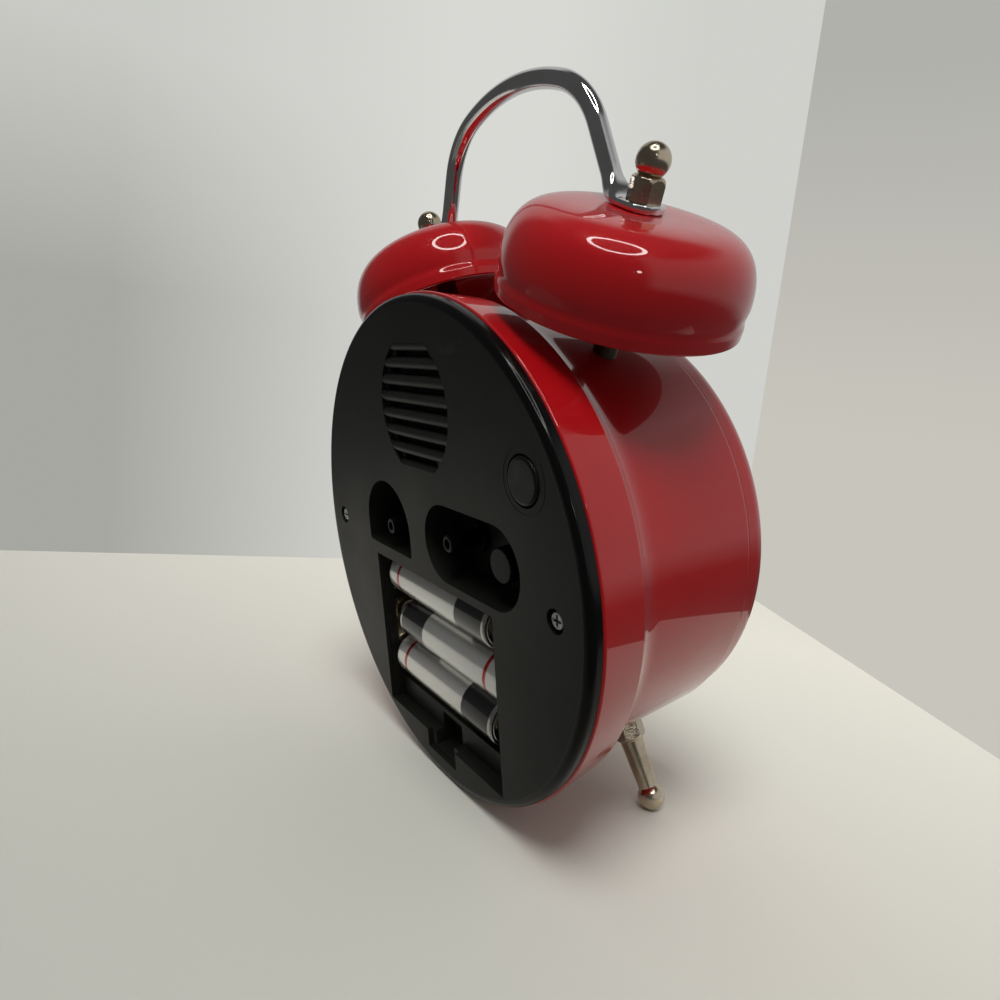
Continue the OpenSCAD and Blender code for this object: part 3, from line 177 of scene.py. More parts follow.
def swept(path, across, over, half_width, half_height, power, sides=40):
    """A section carried along a path: a rounded oblong of the given half sizes, whose corners are rounder the nearer
    power is to 2. across and over are the section's own directions at each point."""
    angle = np.linspace(0, 2 * math.pi, sides + 1)
    c, s = np.cos(angle), np.sin(angle)
    sharp = 2 / np.asarray(power, float).reshape(-1, 1)
    wide = np.sign(c) * np.abs(c) ** sharp * np.reshape(half_width, (-1, 1))
    high = np.sign(s) * np.abs(s) ** sharp * np.reshape(half_height, (-1, 1))
    points = path[:, None] + wide[..., None] * across[:, None] + high[..., None] * over[:, None]
    return points.reshape(-1, 3), grid_faces(len(path), sides + 1)


def smooth(t):
    """0 to 1 with level ends."""
    t = np.clip(t, 0, 1)
    return t * t * (3 - 2 * t)


def eased(node, finish, width, body="clock"):
    """A copy of a CAD node with its sharp edges eased by a small bevel, in the node's place."""
    mesh = nodes[node].data.copy()
    mesh.materials.clear()
    work = bmesh.new()
    work.from_mesh(mesh)
    bmesh.ops.remove_doubles(work, verts=work.verts, dist=2e-6)
    bmesh.ops.dissolve_limit(work, angle_limit=math.radians(0.4), verts=work.verts, edges=work.edges)
    work.to_mesh(mesh)
    work.free()
    thing = finished(node + "_eased", mesh, finish, body, CREASE, (node,))
    bevel = thing.modifiers.new("eased edges", "BEVEL")
    bevel.width = width * MM
    bevel.segments = 2
    bevel.limit_method = "ANGLE"
    bevel.angle_limit = math.radians(38)
    bevel.harden_normals = False
    even = thing.modifiers.new("even shading", "WEIGHTED_NORMAL")
    even.mode, even.weight, even.keep_sharp = "FACE_AREA", 50, True
    return thing


# Materials


class Value:
    """A value in a material. Operators on it add Math nodes."""

    def __init__(self, finish, socket):
        self.finish, self.socket = finish, socket

    def _math(self, operation, first, second):
        return self.finish.add("Math", {"operation": operation}, {0: first, 1: second})

    def __add__(self, other):
        return self._math("ADD", self, other)

    def __sub__(self, other):
        return self._math("SUBTRACT", self, other)

    def __rsub__(self, other):
        return self._math("SUBTRACT", other, self)

    def __mul__(self, other):
        return self._math("MULTIPLY", self, other)

    def __truediv__(self, other):
        return self._math("DIVIDE", self, other)

    def __gt__(self, other):
        return self._math("GREATER_THAN", self, other)

    def __lt__(self, other):
        return self._math("LESS_THAN", self, other)

    __radd__, __rmul__ = __add__, __mul__


class Nodes:
    """A node tree that is built from values and links."""

    def __init__(self, tree):
        self.tree = tree

    def add(self, kind, settings=None, inputs=None, out=0):
        """Any node by its type, with its settings first, then the values or links of its sockets."""
        made = self.tree.nodes.new("ShaderNode" + kind)
        for key, value in (settings or {}).items():
            setattr(made, key, value)
        for key, value in (inputs or {}).items():
            self.put(made.inputs[key], value)
        return Value(self, made.outputs[out])

    def put(self, socket, value):
        """Links a value into a socket, or sets the socket."""
        if isinstance(value, Value):
            self.tree.links.new(value.socket, socket)
        else:
            socket.default_value = value

    def parts(self, vector):
        """The three parts of a vector."""
        first = self.add("SeparateXYZ", inputs={0: vector})
        return [Value(self, end) for end in first.socket.node.outputs]

    def ramp(self, value, low, high, first=0.0, last=1.0):
        """value from low..high to first..last, held at both ends."""
        return self.add("MapRange", {"clamp": True}, {0: value, 1: low, 2: high, 3: first, 4: last})

    def blend(self, share, first, second):
        """first where share is 0, second where it is 1."""
        return self.add("Mix", {"data_type": "RGBA"}, {0: share, 6: first, 7: second}, out=2)


class Finish(Nodes):
    """A material on the Principled shader. What is the same all over is set on the shader's own sockets."""

    def __init__(self, name, **even):
        self.material = bpy.data.materials.new(name)
        self.material.use_nodes = True
        super().__init__(self.material.node_tree)
        self.shader = self.tree.nodes["Principled BSDF"]
        for socket, value in even.items():
            self.shader.inputs[socket.replace("_", " ")].default_value = value

    def drive(self, **varying):
        """Feeds the shader's sockets with what changes over the surface."""
        for socket, value in varying.items():
            self.put(self.shader.inputs[socket.replace("_", " ")], value)
        return self

    def place(self):
        return self.add("TexCoord", out="Object")

    def map(self):
        """Round and along a turned piece."""
        return self.parts(self.add("TexCoord", out="UV"))[:2]

    def noise(self, scale, detail=3.0, rough=0.55, stretch=None):
        where = self.place()
        if stretch:
            where = self.add("Mapping", inputs={"Vector": where, "Scale": stretch})
        return self.add("TexNoise", inputs={"Vector": where, "Scale": scale, "Detail": detail, "Roughness": rough})

    def from_axis(self):
        """Millimetres from the clock's axis: the length of the offset from the hub, crossed with the axis."""
        offset = self.add("VectorMath", {"operation": "SUBTRACT"}, {0: self.place(), 1: HUB.tolist()})
        across = self.add("VectorMath", {"operation": "CROSS_PRODUCT"}, {0: offset, 1: DIAL_WAY.tolist()})
        return self.add("VectorMath", {"operation": "LENGTH"}, {0: across}, out="Value") / MM

    def bump(self, height, strength, distance):
        return self.add("Bump", inputs={"Height": height, "Strength": strength, "Distance": distance * MM})


def tone(red, green, blue):
    """A colour given as screen values from 0 to 255, as the linear colour that Blender's shaders take."""
    screen = np.array([red, green, blue]) / 255
    linear = np.where(screen <= 0.04045, screen / 12.92, ((screen + 0.055) / 1.055) ** 2.4)
    return (*linear.tolist(), 1.0)


def enamel():
    """Glossy stoved enamel: a deep red under a clear coat, with faint ripple and dust."""
    f = Finish("red enamel", Coat_Weight=1.0, Coat_Roughness=0.012, Coat_IOR=1.5, Specular_IOR_Level=0.12)
    cloud = f.ramp(f.noise(28, 4), 0.3, 0.72)
    dust = f.ramp(f.noise(1900, 2, 0.7), 0.7, 0.8) * f.ramp(f.noise(60, 3), 0.45, 0.7)
    colour = f.blend(cloud, tone(156, 12, 18), tone(168, 17, 22))
    colour = f.blend(dust * 0.12, colour, tone(214, 150, 148))
    f.drive(Base_Color=colour, Roughness=f.ramp(f.noise(90, 3), 0.3, 0.7, 0.3, 0.4) + dust * 0.2)
    f.drive(Normal=f.bump(f.noise(420, 2), 0.02, 0.12))
    return f.material


RIM_FROM, RIM_FULL = 51.9, 52.6


def black_moulding():
    """Fine-sparked black plastic with a grey bloom and light scuffs, and a polished rim whose base is painted
    near-black, a painted shade for its roll-off.
    """
    f = Finish("black moulding", Specular_IOR_Level=0.25)
    bloom = f.ramp(f.noise(38, 5, 0.6), 0.36, 0.74)
    scuff = f.ramp(f.noise(90, 4, 0.6, (1, 7, 1.6)), 0.62, 0.74) * f.ramp(f.noise(22, 3), 0.45, 0.68)
    grain = f.noise(2600, 2, 0.6)
    colour = f.blend(bloom, tone(18, 18, 17), tone(26, 26, 24))
    colour = f.blend(scuff * 0.25, colour, tone(66, 66, 62))
    rim = f.ramp(f.from_axis(), RIM_FROM, RIM_FULL)
    # Painted shade: the rim's base is painted near-black for the dark roll-off of the edge; its low roughness is real
    # polish.
    f.drive(Base_Color=f.blend(rim, colour, tone(8, 8, 8)))
    f.drive(Roughness=(f.ramp(bloom, 0, 1, 0.42, 0.54) - scuff * 0.1) * (1 - rim) + rim * 0.15)
    f.drive(Normal=f.bump(grain * (1 - rim * 0.8), 0.2, 0.05))
    return f.material


def knob_plastic(name, dark, worn, shine):
    """Smoother black plastic of the knobs and the button, worn a little shiny."""
    f = Finish(name, Specular_IOR_Level=shine)
    wear = f.ramp(f.noise(240, 4), 0.4, 0.7)
    f.drive(Base_Color=f.blend(wear, dark, worn), Roughness=f.ramp(wear, 0, 1, 0.4, 0.26))
    f.drive(Normal=f.bump(f.noise(2200, 2), 0.15, 0.04))
    return f.material


def plated(name, bright, dull, smoothness, roughest, tarnish=0.4):
    """Plated metal: bright where it is handled, duller and rougher in cloudy patches, with fine rubbing marks."""
    f = Finish(name, Metallic=1.0)
    patch = f.ramp(f.noise(150, 5, 0.65), 0.42, 0.72)
    rub = f.ramp(f.noise(700, 3, 0.6, (1, 1, 9)), 0.55, 0.75)
    f.drive(Base_Color=f.blend(patch * tarnish, bright, dull))
    f.drive(Roughness=f.ramp(patch, 0, 1, smoothness, roughest) + rub * 0.06)
    f.drive(Normal=f.bump(f.noise(1300, 2), 0.04, 0.03))
    return f.material


def grained(name, first, second, roughness, scale=500.0, metallic=0.0, strength=0.08):
    """A plain finish with a fine grain, for the pieces inside."""
    f = Finish(name, Metallic=metallic)
    grain = f.ramp(f.noise(scale, 4), 0.35, 0.68)
    f.drive(Base_Color=f.blend(grain, first, second), Roughness=f.ramp(grain, 0, 1, roughness, roughness + 0.12))
    f.drive(Normal=f.bump(grain, strength, 0.04))
    return f.material


def clear_lens():
    """Clear moulded lens with a trace of smear."""
    f = Finish("clear lens", Transmission_Weight=1.0, IOR=1.47, Base_Color=tone(246, 250, 250))
    f.drive(Roughness=f.ramp(f.noise(70, 4), 0.45, 0.8, 0.0, 0.05))
    return f.material


# Places along a cell, from 0 at its flat end to 1 at its nub, and round it
SLEEVE_FROM, FOOT_BAND, LINE_FROM, LINE_TO, SLEEVE_TO = 0.115, 0.31, 0.79, 0.81, 0.885
PRINT_EDGE, SEAM_FROM, SEAM_TO = 0.002, 0.492, 0.5


def cell_sleeve(name, main, foot):
    """Foil sleeve of a cell, by place along it: bare base, foot band, body, thin red line, shoulder band, and bare
    shoulder."""
    f = Finish(name, Coat_Weight=0.5, Coat_Roughness=0.08)
    around, along = f.map()
    brushed = f.noise(900, 3, 0.6, (1, 12, 12))
    past = [f.ramp(along, at, at + PRINT_EDGE) for at in (SLEEVE_FROM, FOOT_BAND, LINE_FROM, LINE_TO, SLEEVE_TO)]
    colour = f.blend(past[1], foot, main)
    colour = f.blend(past[2], colour, tone(168, 26, 30))
    colour = f.blend(past[3], colour, main)
    seam = (around > SEAM_FROM) * (around < SEAM_TO)
    bare = 1 - past[0] + past[4]
    f.drive(Base_Color=f.blend(bare, colour, tone(190, 188, 184)))
    f.drive(Metallic=f.ramp(bare, 0, 1, 0.72, 1.0), Roughness=f.ramp(brushed, 0.3, 0.7, 0.17, 0.27))
    f.drive(Normal=f.bump(seam - bare, 0.3, 0.08))
    return f.material


def dial_card():
    """Cream dial with a soft printed grain."""
    f = Finish("dial card", Specular_IOR_Level=0.3)
    grain = f.ramp(f.noise(800, 4), 0.35, 0.7)
    f.drive(Base_Color=f.blend(grain, tone(238, 230, 208), tone(231, 221, 197)))
    f.drive(Roughness=f.ramp(grain, 0, 1, 0.5, 0.64), Normal=f.bump(grain, 0.05, 0.03))
    return f.material


red = enamel()
black = black_moulding()
button_black = knob_plastic("button plastic", tone(11, 11, 11), tone(20, 20, 19), 0.25)
knob_black = knob_plastic("knob plastic", tone(6, 6, 6), tone(11, 11, 11), 0.12)
chrome = plated("bright chrome", tone(226, 226, 228), tone(196, 194, 190), 0.06, 0.13, 0.5)
nickel = plated("warm nickel", tone(206, 193, 172), tone(154, 137, 112), 0.15, 0.34, 0.75)
# Nickel painted dark: painted shade for the bell posts, which stand in the shade under the bells.
shade_dark_nickel = plated("nickel painted dark for shade", tone(92, 87, 78), tone(66, 60, 51), 0.3, 0.45)
steel = plated("zinc steel", tone(186, 188, 190), tone(140, 142, 146), 0.28, 0.45)
brass = plated("cut brass", tone(208, 174, 98), tone(160, 122, 62), 0.25, 0.42)
copper = grained("wound copper", tone(176, 98, 56), tone(128, 62, 34), 0.35, 2200.0, 0.9, 0.4)
black_steel = grained("blackened steel", tone(22, 22, 23), tone(33, 33, 34), 0.5, 900.0)
magnet = grained("sintered magnet", tone(58, 58, 61), tone(76, 76, 80), 0.6, 900.0)
paper_cone = grained("paper cone", tone(38, 37, 36), tone(62, 60, 57), 0.75, 1300.0, 0.0, 0.3)
laminate = grained("board laminate", tone(28, 92, 46), tone(38, 112, 58), 0.35, 700.0)
chip_black = grained("chip resin", tone(22, 22, 24), tone(36, 36, 39), 0.4, 1100.0)
can_blue = grained("capacitor sleeve", tone(28, 42, 92), tone(38, 54, 112), 0.35, 600.0)
pale_moulding = grained("pale moulding", tone(222, 216, 198), tone(206, 199, 180), 0.5, 900.0)
hand_ink = grained("hand lacquer", tone(22, 22, 24), tone(36, 36, 38), 0.3, 900.0)
hand_red = grained("red lacquer", tone(170, 30, 34), tone(150, 24, 30), 0.3, 900.0)
print_ink = grained("dial ink", tone(26, 25, 24), tone(40, 38, 36), 0.55, 1500.0)
card = dial_card()
glass = clear_lens()


# Case and bezel: one section of rounded corners each, turned about the clock's axis

BAND_ROUND, COVE_IN_R, CRISP = 0.45, 3.9, 0.05
ROLL_IN, ROLL_RUN, ROLL_ROUND, ROLL_END = 0.65, 1.1, 0.7, 0.15
CASE_SECTION = [(BAND_R - 0.5, PLATE_RIM, 0), (BAND_R, PLATE_RIM, BAND_ROUND), (RIDGE_R, RIDGE_D, EDGE_ROUND),
                (WAIST_R, RIDGE_D + COVE_RUN, COVE_R), (DRUM_R, DRUM_D - ROLL_RUN, ROLL_ROUND),
                (DRUM_R - ROLL_IN, DRUM_D, ROLL_END), (DRUM_R - SHEET, DRUM_D, CRISP),
                (WAIST_R - SHEET, RIDGE_D - SHEET, COVE_IN_R), (RIDGE_R - SHEET, RIDGE_D - SHEET, CRISP),
                (BAND_R - SHEET, PLATE_RIM, CRISP), (BAND_R - 0.5, PLATE_RIM, 0)]
turned("case_enamelled", rounded(CASE_SECTION, 11), red, "red_paint", turns=220, stands_for=("case_shell",))

FLANK_R, FLANK_D, FLANK_ROUND = 47.0, 50.2, 5.0
NOSE_R, NOSE_D, NOSE_ROUND = 43.6, FRONT_D - 0.06, 1.2
SEAT_R, SEAT_D, STEP_IN, STEP_D = LENS_R + 0.1, LENS_D + LENS_T, 0.85, DRUM_D + 0.02
SKIRT_IN_R, SKIRT_OUT_R, SKIRT_D, SHARP = 45.85, 46.95, 42.5, 0.02
BEZEL_SECTION = [(DRUM_R - STEP_IN, STEP_D, 0), (DRUM_R - ROLL_IN, STEP_D, 0.1),
                 (FLANK_R, FLANK_D, FLANK_ROUND), (NOSE_R, NOSE_D, NOSE_ROUND), (OPENING_R, NOSE_D, NOSE_ROUND),
                 (OPENING_R, SEAT_D, SHARP), (SEAT_R, SEAT_D, SHARP), (SEAT_R, DRUM_D, SHARP),
                 (SKIRT_IN_R, DRUM_D, SHARP), (SKIRT_IN_R, SKIRT_D, SHARP), (SKIRT_OUT_R, SKIRT_D, SHARP),
                 (SKIRT_OUT_R, DRUM_D, SHARP), (DRUM_R - STEP_IN, STEP_D, 0)]
turned("bezel_enamelled", rounded(BEZEL_SECTION, 9), red, "red_paint", turns=220, stands_for=("front_bezel",))


# Bells: a dome that is flatter on top than an ellipse, a wall with a slight neck, and a straight lip


def bell_dome(inset):
    """Radius and height of a bell's dome at a depth below its outside, from the crown outwards:
    radius = R sin(a)^(2/p), height = H cos(a) - H."""
    a = math.pi / 2 * np.linspace(0, 1, 64) ** 2.2
    return np.stack([(BELL_R - inset) * np.sin(a) ** (2 / DOME_POWER), (DOME_H - inset) * np.cos(a) - DOME_H], -1)


def bell_frame(side):
    """Seat of a bell on its post, the way along the post, and the way along the handle's tab towards the middle."""
    seat = np.array([side * BELL_X, BELL_Y, BELL_D])
    along = np.array([side * math.sin(BELL_TILT), math.cos(BELL_TILT), 0.0])
    inward = np.array([-side * math.cos(BELL_TILT), math.sin(BELL_TILT), 0.0])
    return seat, along, inward


def bell(name, side):
    """Dome, necked wall, rounded edge, and the same a sheet's thickness inside, turned about the post."""
    inner, neck, lip = BELL_R - SHEET, LIP_H - BELL_H, 0.6 * LIP_H - BELL_H
    wall = rounded([(BELL_R, -DOME_H, 0), (BELL_R - LIP_IN, neck, 3.0), (BELL_R, lip, 2.4), (BELL_R, -BELL_H, 0.35),
                    (inner, -BELL_H, 0.35), (inner, lip, 1.0), (inner - LIP_IN, neck, 2.0), (inner, -DOME_H, 0)], 6)
    section = np.vstack([bell_dome(0), wall[1:-1], bell_dome(SHEET)[::-1]])
    seat, along, _ = bell_frame(side)
    turned(name + "_enamelled", section, red, "red_paint", seat, along, DEPTH, turns=180, crease=60, stands_for=(name,))


bell("left_bell", -1)
bell("right_bell", 1)


# Handle: round wire that flattens into a tab under each finial


def handle_path():
    """Half the handle's centre line from the top of its crown to the end of its tab: crown arc, shoulder arc, straight
    leg, bend and tab. Gives the points, the way along, the distance to the tab's middle, and how far the wire is
    pressed flat, from 0 to 1."""
    crown = np.array([0, HANDLE_TOP - CROWN_R])
    a = np.linspace(0, CROWN_HALF, 24)
    top = crown + CROWN_R * np.stack([np.sin(a), np.cos(a)], -1)
    corner = crown + (CROWN_R - CORNER_R) * np.array([math.sin(CROWN_HALF), math.cos(CROWN_HALF)])
    a = np.linspace(CROWN_HALF, math.pi / 2 - LEG_SLOPE, 40)[1:]
    shoulder = corner + CORNER_R * np.stack([np.sin(a), np.cos(a)], -1)
    down = np.array([math.sin(LEG_SLOPE), -math.cos(LEG_SLOPE)])
    out = np.array([math.cos(LEG_SLOPE), math.sin(LEG_SLOPE)])
    post = np.array([math.sin(BELL_TILT), math.cos(BELL_TILT)])
    tab_way = np.array([math.cos(BELL_TILT), -math.sin(BELL_TILT)])
    seat = np.array([BELL_X, BELL_Y])
    line = seat + TAB_LIFT * post
    leg = (BEND_R - (shoulder[-1] + BEND_R * out - line) @ post) / (down @ post)
    straight = shoulder[-1] + np.linspace(0, leg, 14)[1:, None] * down
    hub = straight[-1] + BEND_R * out
    a = np.linspace(math.pi + LEG_SLOPE, 1.5 * math.pi - BELL_TILT, 22)[1:]
    bend = hub + BEND_R * np.stack([np.cos(a), np.sin(a)], -1)
    left = np.linalg.norm(line - bend[-1])
    tip = left + TAB_W / 2 * np.sin(np.linspace(0, math.pi / 2, 22)[1:])
    reach = np.concatenate([np.linspace(0, left, 26)[1:], tip])
    tab = bend[-1] + reach[:, None] * tab_way
    flat = np.vstack([top, shoulder, straight, bend, tab])
    run = np.concatenate([[0], np.cumsum(np.linalg.norm(np.diff(flat, axis=0), axis=1))])
    to_go = run[-1] - TAB_W / 2 - run
    press = smooth((left + PRESS_LEAD - to_go) / PRESS_RUN)
    flat = flat - (TAB_LIFT - TAB_T / 2) * press[:, None] * post
    way = np.gradient(flat, axis=0)
    way /= np.linalg.norm(way, axis=1)[:, None]
    return flat, way, to_go, press


def handle():
    """Both halves as one sweep. The section goes from a circle to a flat oblong, and ends in a half circle."""
    flat, way, to_go, press = handle_path()
    width = WIRE_R + (TAB_W / 2 - WIRE_R) * press
    width = np.where(to_go < 0, np.sqrt(np.maximum((TAB_W / 2) ** 2 - to_go**2, 0)), width)
    height = WIRE_R + (TAB_T / 2 - WIRE_R) * press
    height = np.where(to_go < 0.3 - TAB_W / 2, height * 0.72, height)
    power = 2 + 4.5 * press
    mirror = slice(None, 0, -1)
    path = np.vstack([flat[mirror] * [-1, 1], flat])
    ways = np.vstack([way[mirror] * [1, -1], way])
    join = [np.concatenate([v[mirror], v]) for v in (width, height, power)]
    path = np.column_stack([path, np.full(len(path), BELL_D)])
    over = np.column_stack([-ways[:, 1], ways[:, 0], np.zeros(len(ways))])
    points, faces = swept(path, np.tile(DEPTH, (len(path), 1)), over, *join)
    piece("handle_wire", points, faces, chrome, "chrome", crease=50, stands_for=("handle",))


handle()


# Finials and feet: a hexagon cut by a cone, then a neck, a shank and a ball


def hexed(profile, flats, span, turns=144):
    """Radius over angle and height: inside span it is the smaller of the profile and a hexagon across the flats."""
    angle = np.linspace(0, 2 * math.pi, turns + 1)
    six = flats / 2 / np.cos((angle + math.pi / 6) % (math.pi / 3) - math.pi / 6)
    held = (profile[:, 1] >= span[0] - 1e-6) & (profile[:, 1] <= span[1] + 1e-6)
    return np.where(held[:, None], np.minimum(profile[:, :1], six[None]), profile[:, :1]), angle


def hexed_piece(name, profile, flats, span, origin, axis, start, stands_for):
    """A hexed profile turned about an axis; start is the direction of angle 0."""
    radius, angle = hexed(profile, flats, span)
    ray = np.cos(angle)[:, None] * start + np.sin(angle)[:, None] * np.cross(axis, start)
    points = origin + radius[..., None] * ray[None] + profile[:, None, 1:] * axis
    piece(name, points.reshape(-1, 3), grid_faces(*radius.shape), nickel, "nickel", crease=28, stands_for=stands_for)


def ball_profile(radius, middle, neck_r, steps=30):
    """The round of a ball from its neck to its far pole."""
    a = np.linspace(math.asin(neck_r / radius), math.pi, steps)
    return np.stack([radius * np.sin(a), middle - radius * np.cos(a)], -1)


def finial(name, side):
    """From the tab outwards: hexagon, a dome turned over its corners, and a ball."""
    corner, waist = FINIAL_AF / 2 / math.cos(math.pi / 6), 2.0
    low, brow = TAB_T, TAB_T + 2.8
    ball_at = TAB_T + FINIAL_HEX + BALL_R + 0.05
    crest = ball_at - math.sqrt(BALL_R**2 - waist**2)
    a = np.linspace(0, math.pi / 2, 18)
    dome = np.stack([waist + (corner - waist) * np.cos(a), brow + (crest - brow) * np.sin(a)], -1)
    flank = [[0.2, low], [corner, low], [corner, low + 0.1]]
    profile = np.vstack([flank, dome, ball_profile(BALL_R, ball_at, waist)[1:]])
    seat, along, inward = bell_frame(side)
    hexed_piece(name + "_turned", profile, FINIAL_AF, (low, crest), seat, along, inward, (name,))


def foot(name, side):
    """From inside the drum's wall outwards: collar, shank and ball."""
    corner = FOOT_AF / 2 / math.cos(math.pi / 6)
    low, high, chamfer = WAIST_R - 1.6, FOOT_COLLAR, 0.7
    edge = np.linspace(0, 1, 9)[:, None]
    collar = np.array([corner, high - chamfer]) * (1 - edge) + np.array([FOOT_AF / 2 - 0.1, high]) * edge
    shank = rounded([(FOOT_AF / 2 - 0.12, high + 0.01, 0), (FOOT_TOP_R, high + 0.3, 0.2),
                     (FOOT_TOP_R - 0.05, high + 1, 0.4), (FOOT_END_R, FOOT_REACH - 2.1, 0)], 6)
    profile = np.vstack([[[0.2, low], [corner, low]], collar, shank, ball_profile(BALL_R, FOOT_REACH, FOOT_END_R)])
    axis = np.array([side * math.sin(FOOT_ANGLE), -math.cos(FOOT_ANGLE), 0.0])
    hexed_piece(name + "_turned", profile, FOOT_AF, (low, high), np.array([0, 0, FOOT_D]), axis, DEPTH, (name,))


for word, side in (("left", -1), ("right", 1)):
    finial(word + "_finial", side)
    foot(word + "_foot", side)


# Cells: a can with rolled shoulders under a sleeve, and its nub; contact springs that narrow towards the cells


def cell(name, place, sleeve):
    """Profile from the flat end to the nub, along the cell's own way: both ends are dished inside a rolled rim."""
    side = CELL_SIDES[place]
    base, end = CELL_TIP - CELL_LEN, CELL_TIP - CELL_NUB
    rim_r, step, dish = CELL_R - 0.9, base + 0.15, end - 0.18
    section = rounded([(0, base, 0), (rim_r, base, 0.1), (rim_r + 0.15, step, 0.1), (CELL_R, step, 0.55),
                       (CELL_R, end, 0.6), (rim_r, end, 0.1), (rim_r - 0.1, dish, 0.1),
                       (CELL_NUB_R + 0.3, dish, 0.2), (CELL_NUB_R, CELL_TIP, 0.35), (0, CELL_TIP, 0)], 6)
    turned(name + "_sleeved", section, sleeve, "cell_jacket", (0, CELL_YS[place], CELL_DEPTH), side * X, DEPTH,
           turns=96, stands_for=(name,))


SILVER, CHARCOAL, PALE = tone(206, 206, 203), tone(44, 44, 46), tone(216, 215, 211)
cell("top_cell", 0, cell_sleeve("sleeve one", SILVER, CHARCOAL))
cell("middle_cell", 1, cell_sleeve("sleeve two", SILVER, CHARCOAL))
cell("bottom_cell", 2, cell_sleeve("sleeve three", PALE, CHARCOAL))


def contact_springs():
    """Three conical springs: x runs evenly from the contact plate to the cell, the radius shrinks evenly, and both ends
    run straight for one wire thickness."""
    s = np.linspace(0, 1, 150)
    r = SPRING_R + (SPRING_TIP_R - SPRING_R) * s
    turn = 2 * math.pi * SPRING_CURLS * s
    x = 1.6 * SPRING_WIRE + (SPRING_LEN - 3.2 * SPRING_WIRE) * s
    curl = np.stack([x, r * np.cos(turn), r * np.sin(turn)], -1)
    path = np.vstack([[[0, SPRING_R, 0], [SPRING_WIRE, SPRING_R, 0]], curl,
                      [[SPRING_LEN - SPRING_WIRE, SPRING_TIP_R, 0], [SPRING_LEN, SPRING_TIP_R, 0]]])
    way = np.gradient(path, axis=0)
    way /= np.linalg.norm(way, axis=1)[:, None]
    out = path * [0, 1, 1]
    across = np.cross(way, out)
    across /= np.linalg.norm(across, axis=1)[:, None]
    over = np.cross(across, way)
    thick = np.full(len(path), SPRING_WIRE / 2)
    points, faces = swept(path, across, over, thick, thick, 2.0, 10)
    every, joined = [], []
    for place, side in enumerate(CELL_SIDES):
        at = points * [side, side, 1] + [-side * SPRING_FACE, CELL_YS[place], CELL_DEPTH]
        joined.append(faces + place * len(points))
        every.append(at)
    piece("contact_springs_wound", np.vstack(every), np.vstack(joined), nickel, "nickel",
          stands_for=("contact_springs",))


contact_springs()


# Back plate and its controls, with eased edges

eased("back_plate", black, 0.22)
eased("back_screws", steel, 0.1)
eased("sound_button", button_black, 0.25, "button")
eased("volume_knob", knob_black, 0.12, "volume_setting")
eased("time_knob", knob_black, 0.1, "time_setting")
eased("alarm_knob", knob_black, 0.1, "alarm_setting")

RING_IN, RING_OUT, RING_TAPER, RING_ROOT, RING_RISE = 5.65, 6.05, 0.07, 0.1, 0.06
RING = rounded([(RING_IN, RING_ROOT, 0), (RING_IN + RING_TAPER, -RING_RISE, 0.05),
                (RING_OUT - RING_TAPER, -RING_RISE, 0.05), (RING_OUT, RING_ROOT, 0)], 4)
BUTTON_AT = (-BUTTON_OUT * math.cos(BUTTON_ANGLE), BUTTON_OUT * math.sin(BUTTON_ANGLE), 0)
turned("button_ring", RING, black, "black_plastic", BUTTON_AT, DEPTH, X, turns=96)


# Dial print: numerals and a minute track

NUMERAL_R, NUMERAL_H, INK = 33.0, 8.6, 0.06
TRACK_R, BAR_LEN, BAR_BROAD, BAR_THIN = 39.6, 2.2, 1.1, 0.35


def numerals():
    """The twelve hour numbers as one mesh, each upright on its place round the dial."""
    shapes, joined, count = [], [], 0
    for hour in range(1, 13):
        words = bpy.data.curves.new("hour", "FONT")
        words.body = str(hour)
        words.size = NUMERAL_H
        words.align_x, words.align_y = "CENTER", "CENTER"
        words.extrude = INK / 2
        words.resolution_u = 6
        thing = bpy.data.objects.new("hour", words)
        bpy.context.scene.collection.objects.link(thing)
        bpy.context.view_layer.update()
        drawn = bpy.data.meshes.new_from_object(thing.evaluated_get(bpy.context.evaluated_depsgraph_get()))
        drawn.calc_loop_triangles()
        points = np.empty(len(drawn.vertices) * 3)
        drawn.vertices.foreach_get("co", points)
        corners = np.empty(len(drawn.loop_triangles) * 3, int)
        drawn.loop_triangles.foreach_get("vertices", corners)
        points = points.reshape(-1, 3)
        points[:, :2] -= (points[:, :2].min(0) + points[:, :2].max(0)) / 2
        angle = math.radians(30 * hour)
        shapes.append(points + [NUMERAL_R * math.sin(angle), NUMERAL_R * math.cos(angle), DIAL_FACE + INK / 2])
        joined.append(corners.reshape(-1, 3) + count)
        count += len(points)
        bpy.data.objects.remove(thing)
        bpy.data.curves.remove(words)
        bpy.data.meshes.remove(drawn)
    piece("dial_numbers", np.vstack(shapes), np.vstack(joined), print_ink, "hand_black", crease=30)


def minute_track():
    """Sixty bars round the dial, every fifth one broader, as boxes from one unit box."""
    unit = np.array([[x, y, z] for x in (-0.5, 0.5) for y in (-0.5, 0.5) for z in (0, 1)], float)
    sides = np.array([[0, 1, 3, 2], [4, 6, 7, 5], [0, 4, 5, 1], [2, 3, 7, 6], [0, 2, 6, 4], [1, 5, 7, 3]])
    angle = np.radians(6 * np.arange(60))
    broad = np.where(np.arange(60) % 5 == 0, BAR_BROAD, BAR_THIN)
    size = np.stack([broad, np.full(60, BAR_LEN), np.full(60, INK)], -1)
    box = unit[None] * size[:, None] + [0, TRACK_R, DIAL_FACE]
    c, s = np.cos(angle)[:, None], np.sin(angle)[:, None]
    points = np.stack([box[..., 0] * c + box[..., 1] * s, box[..., 1] * c - box[..., 0] * s, box[..., 2]], -1)
    faces = (sides[None] + 8 * np.arange(60)[:, None, None]).reshape(-1, 4)
    piece("minute_track", points.reshape(-1, 3), faces, print_ink, "hand_black", crease=30)


numerals()
minute_track()


# Finishes of the CAD nodes that stay

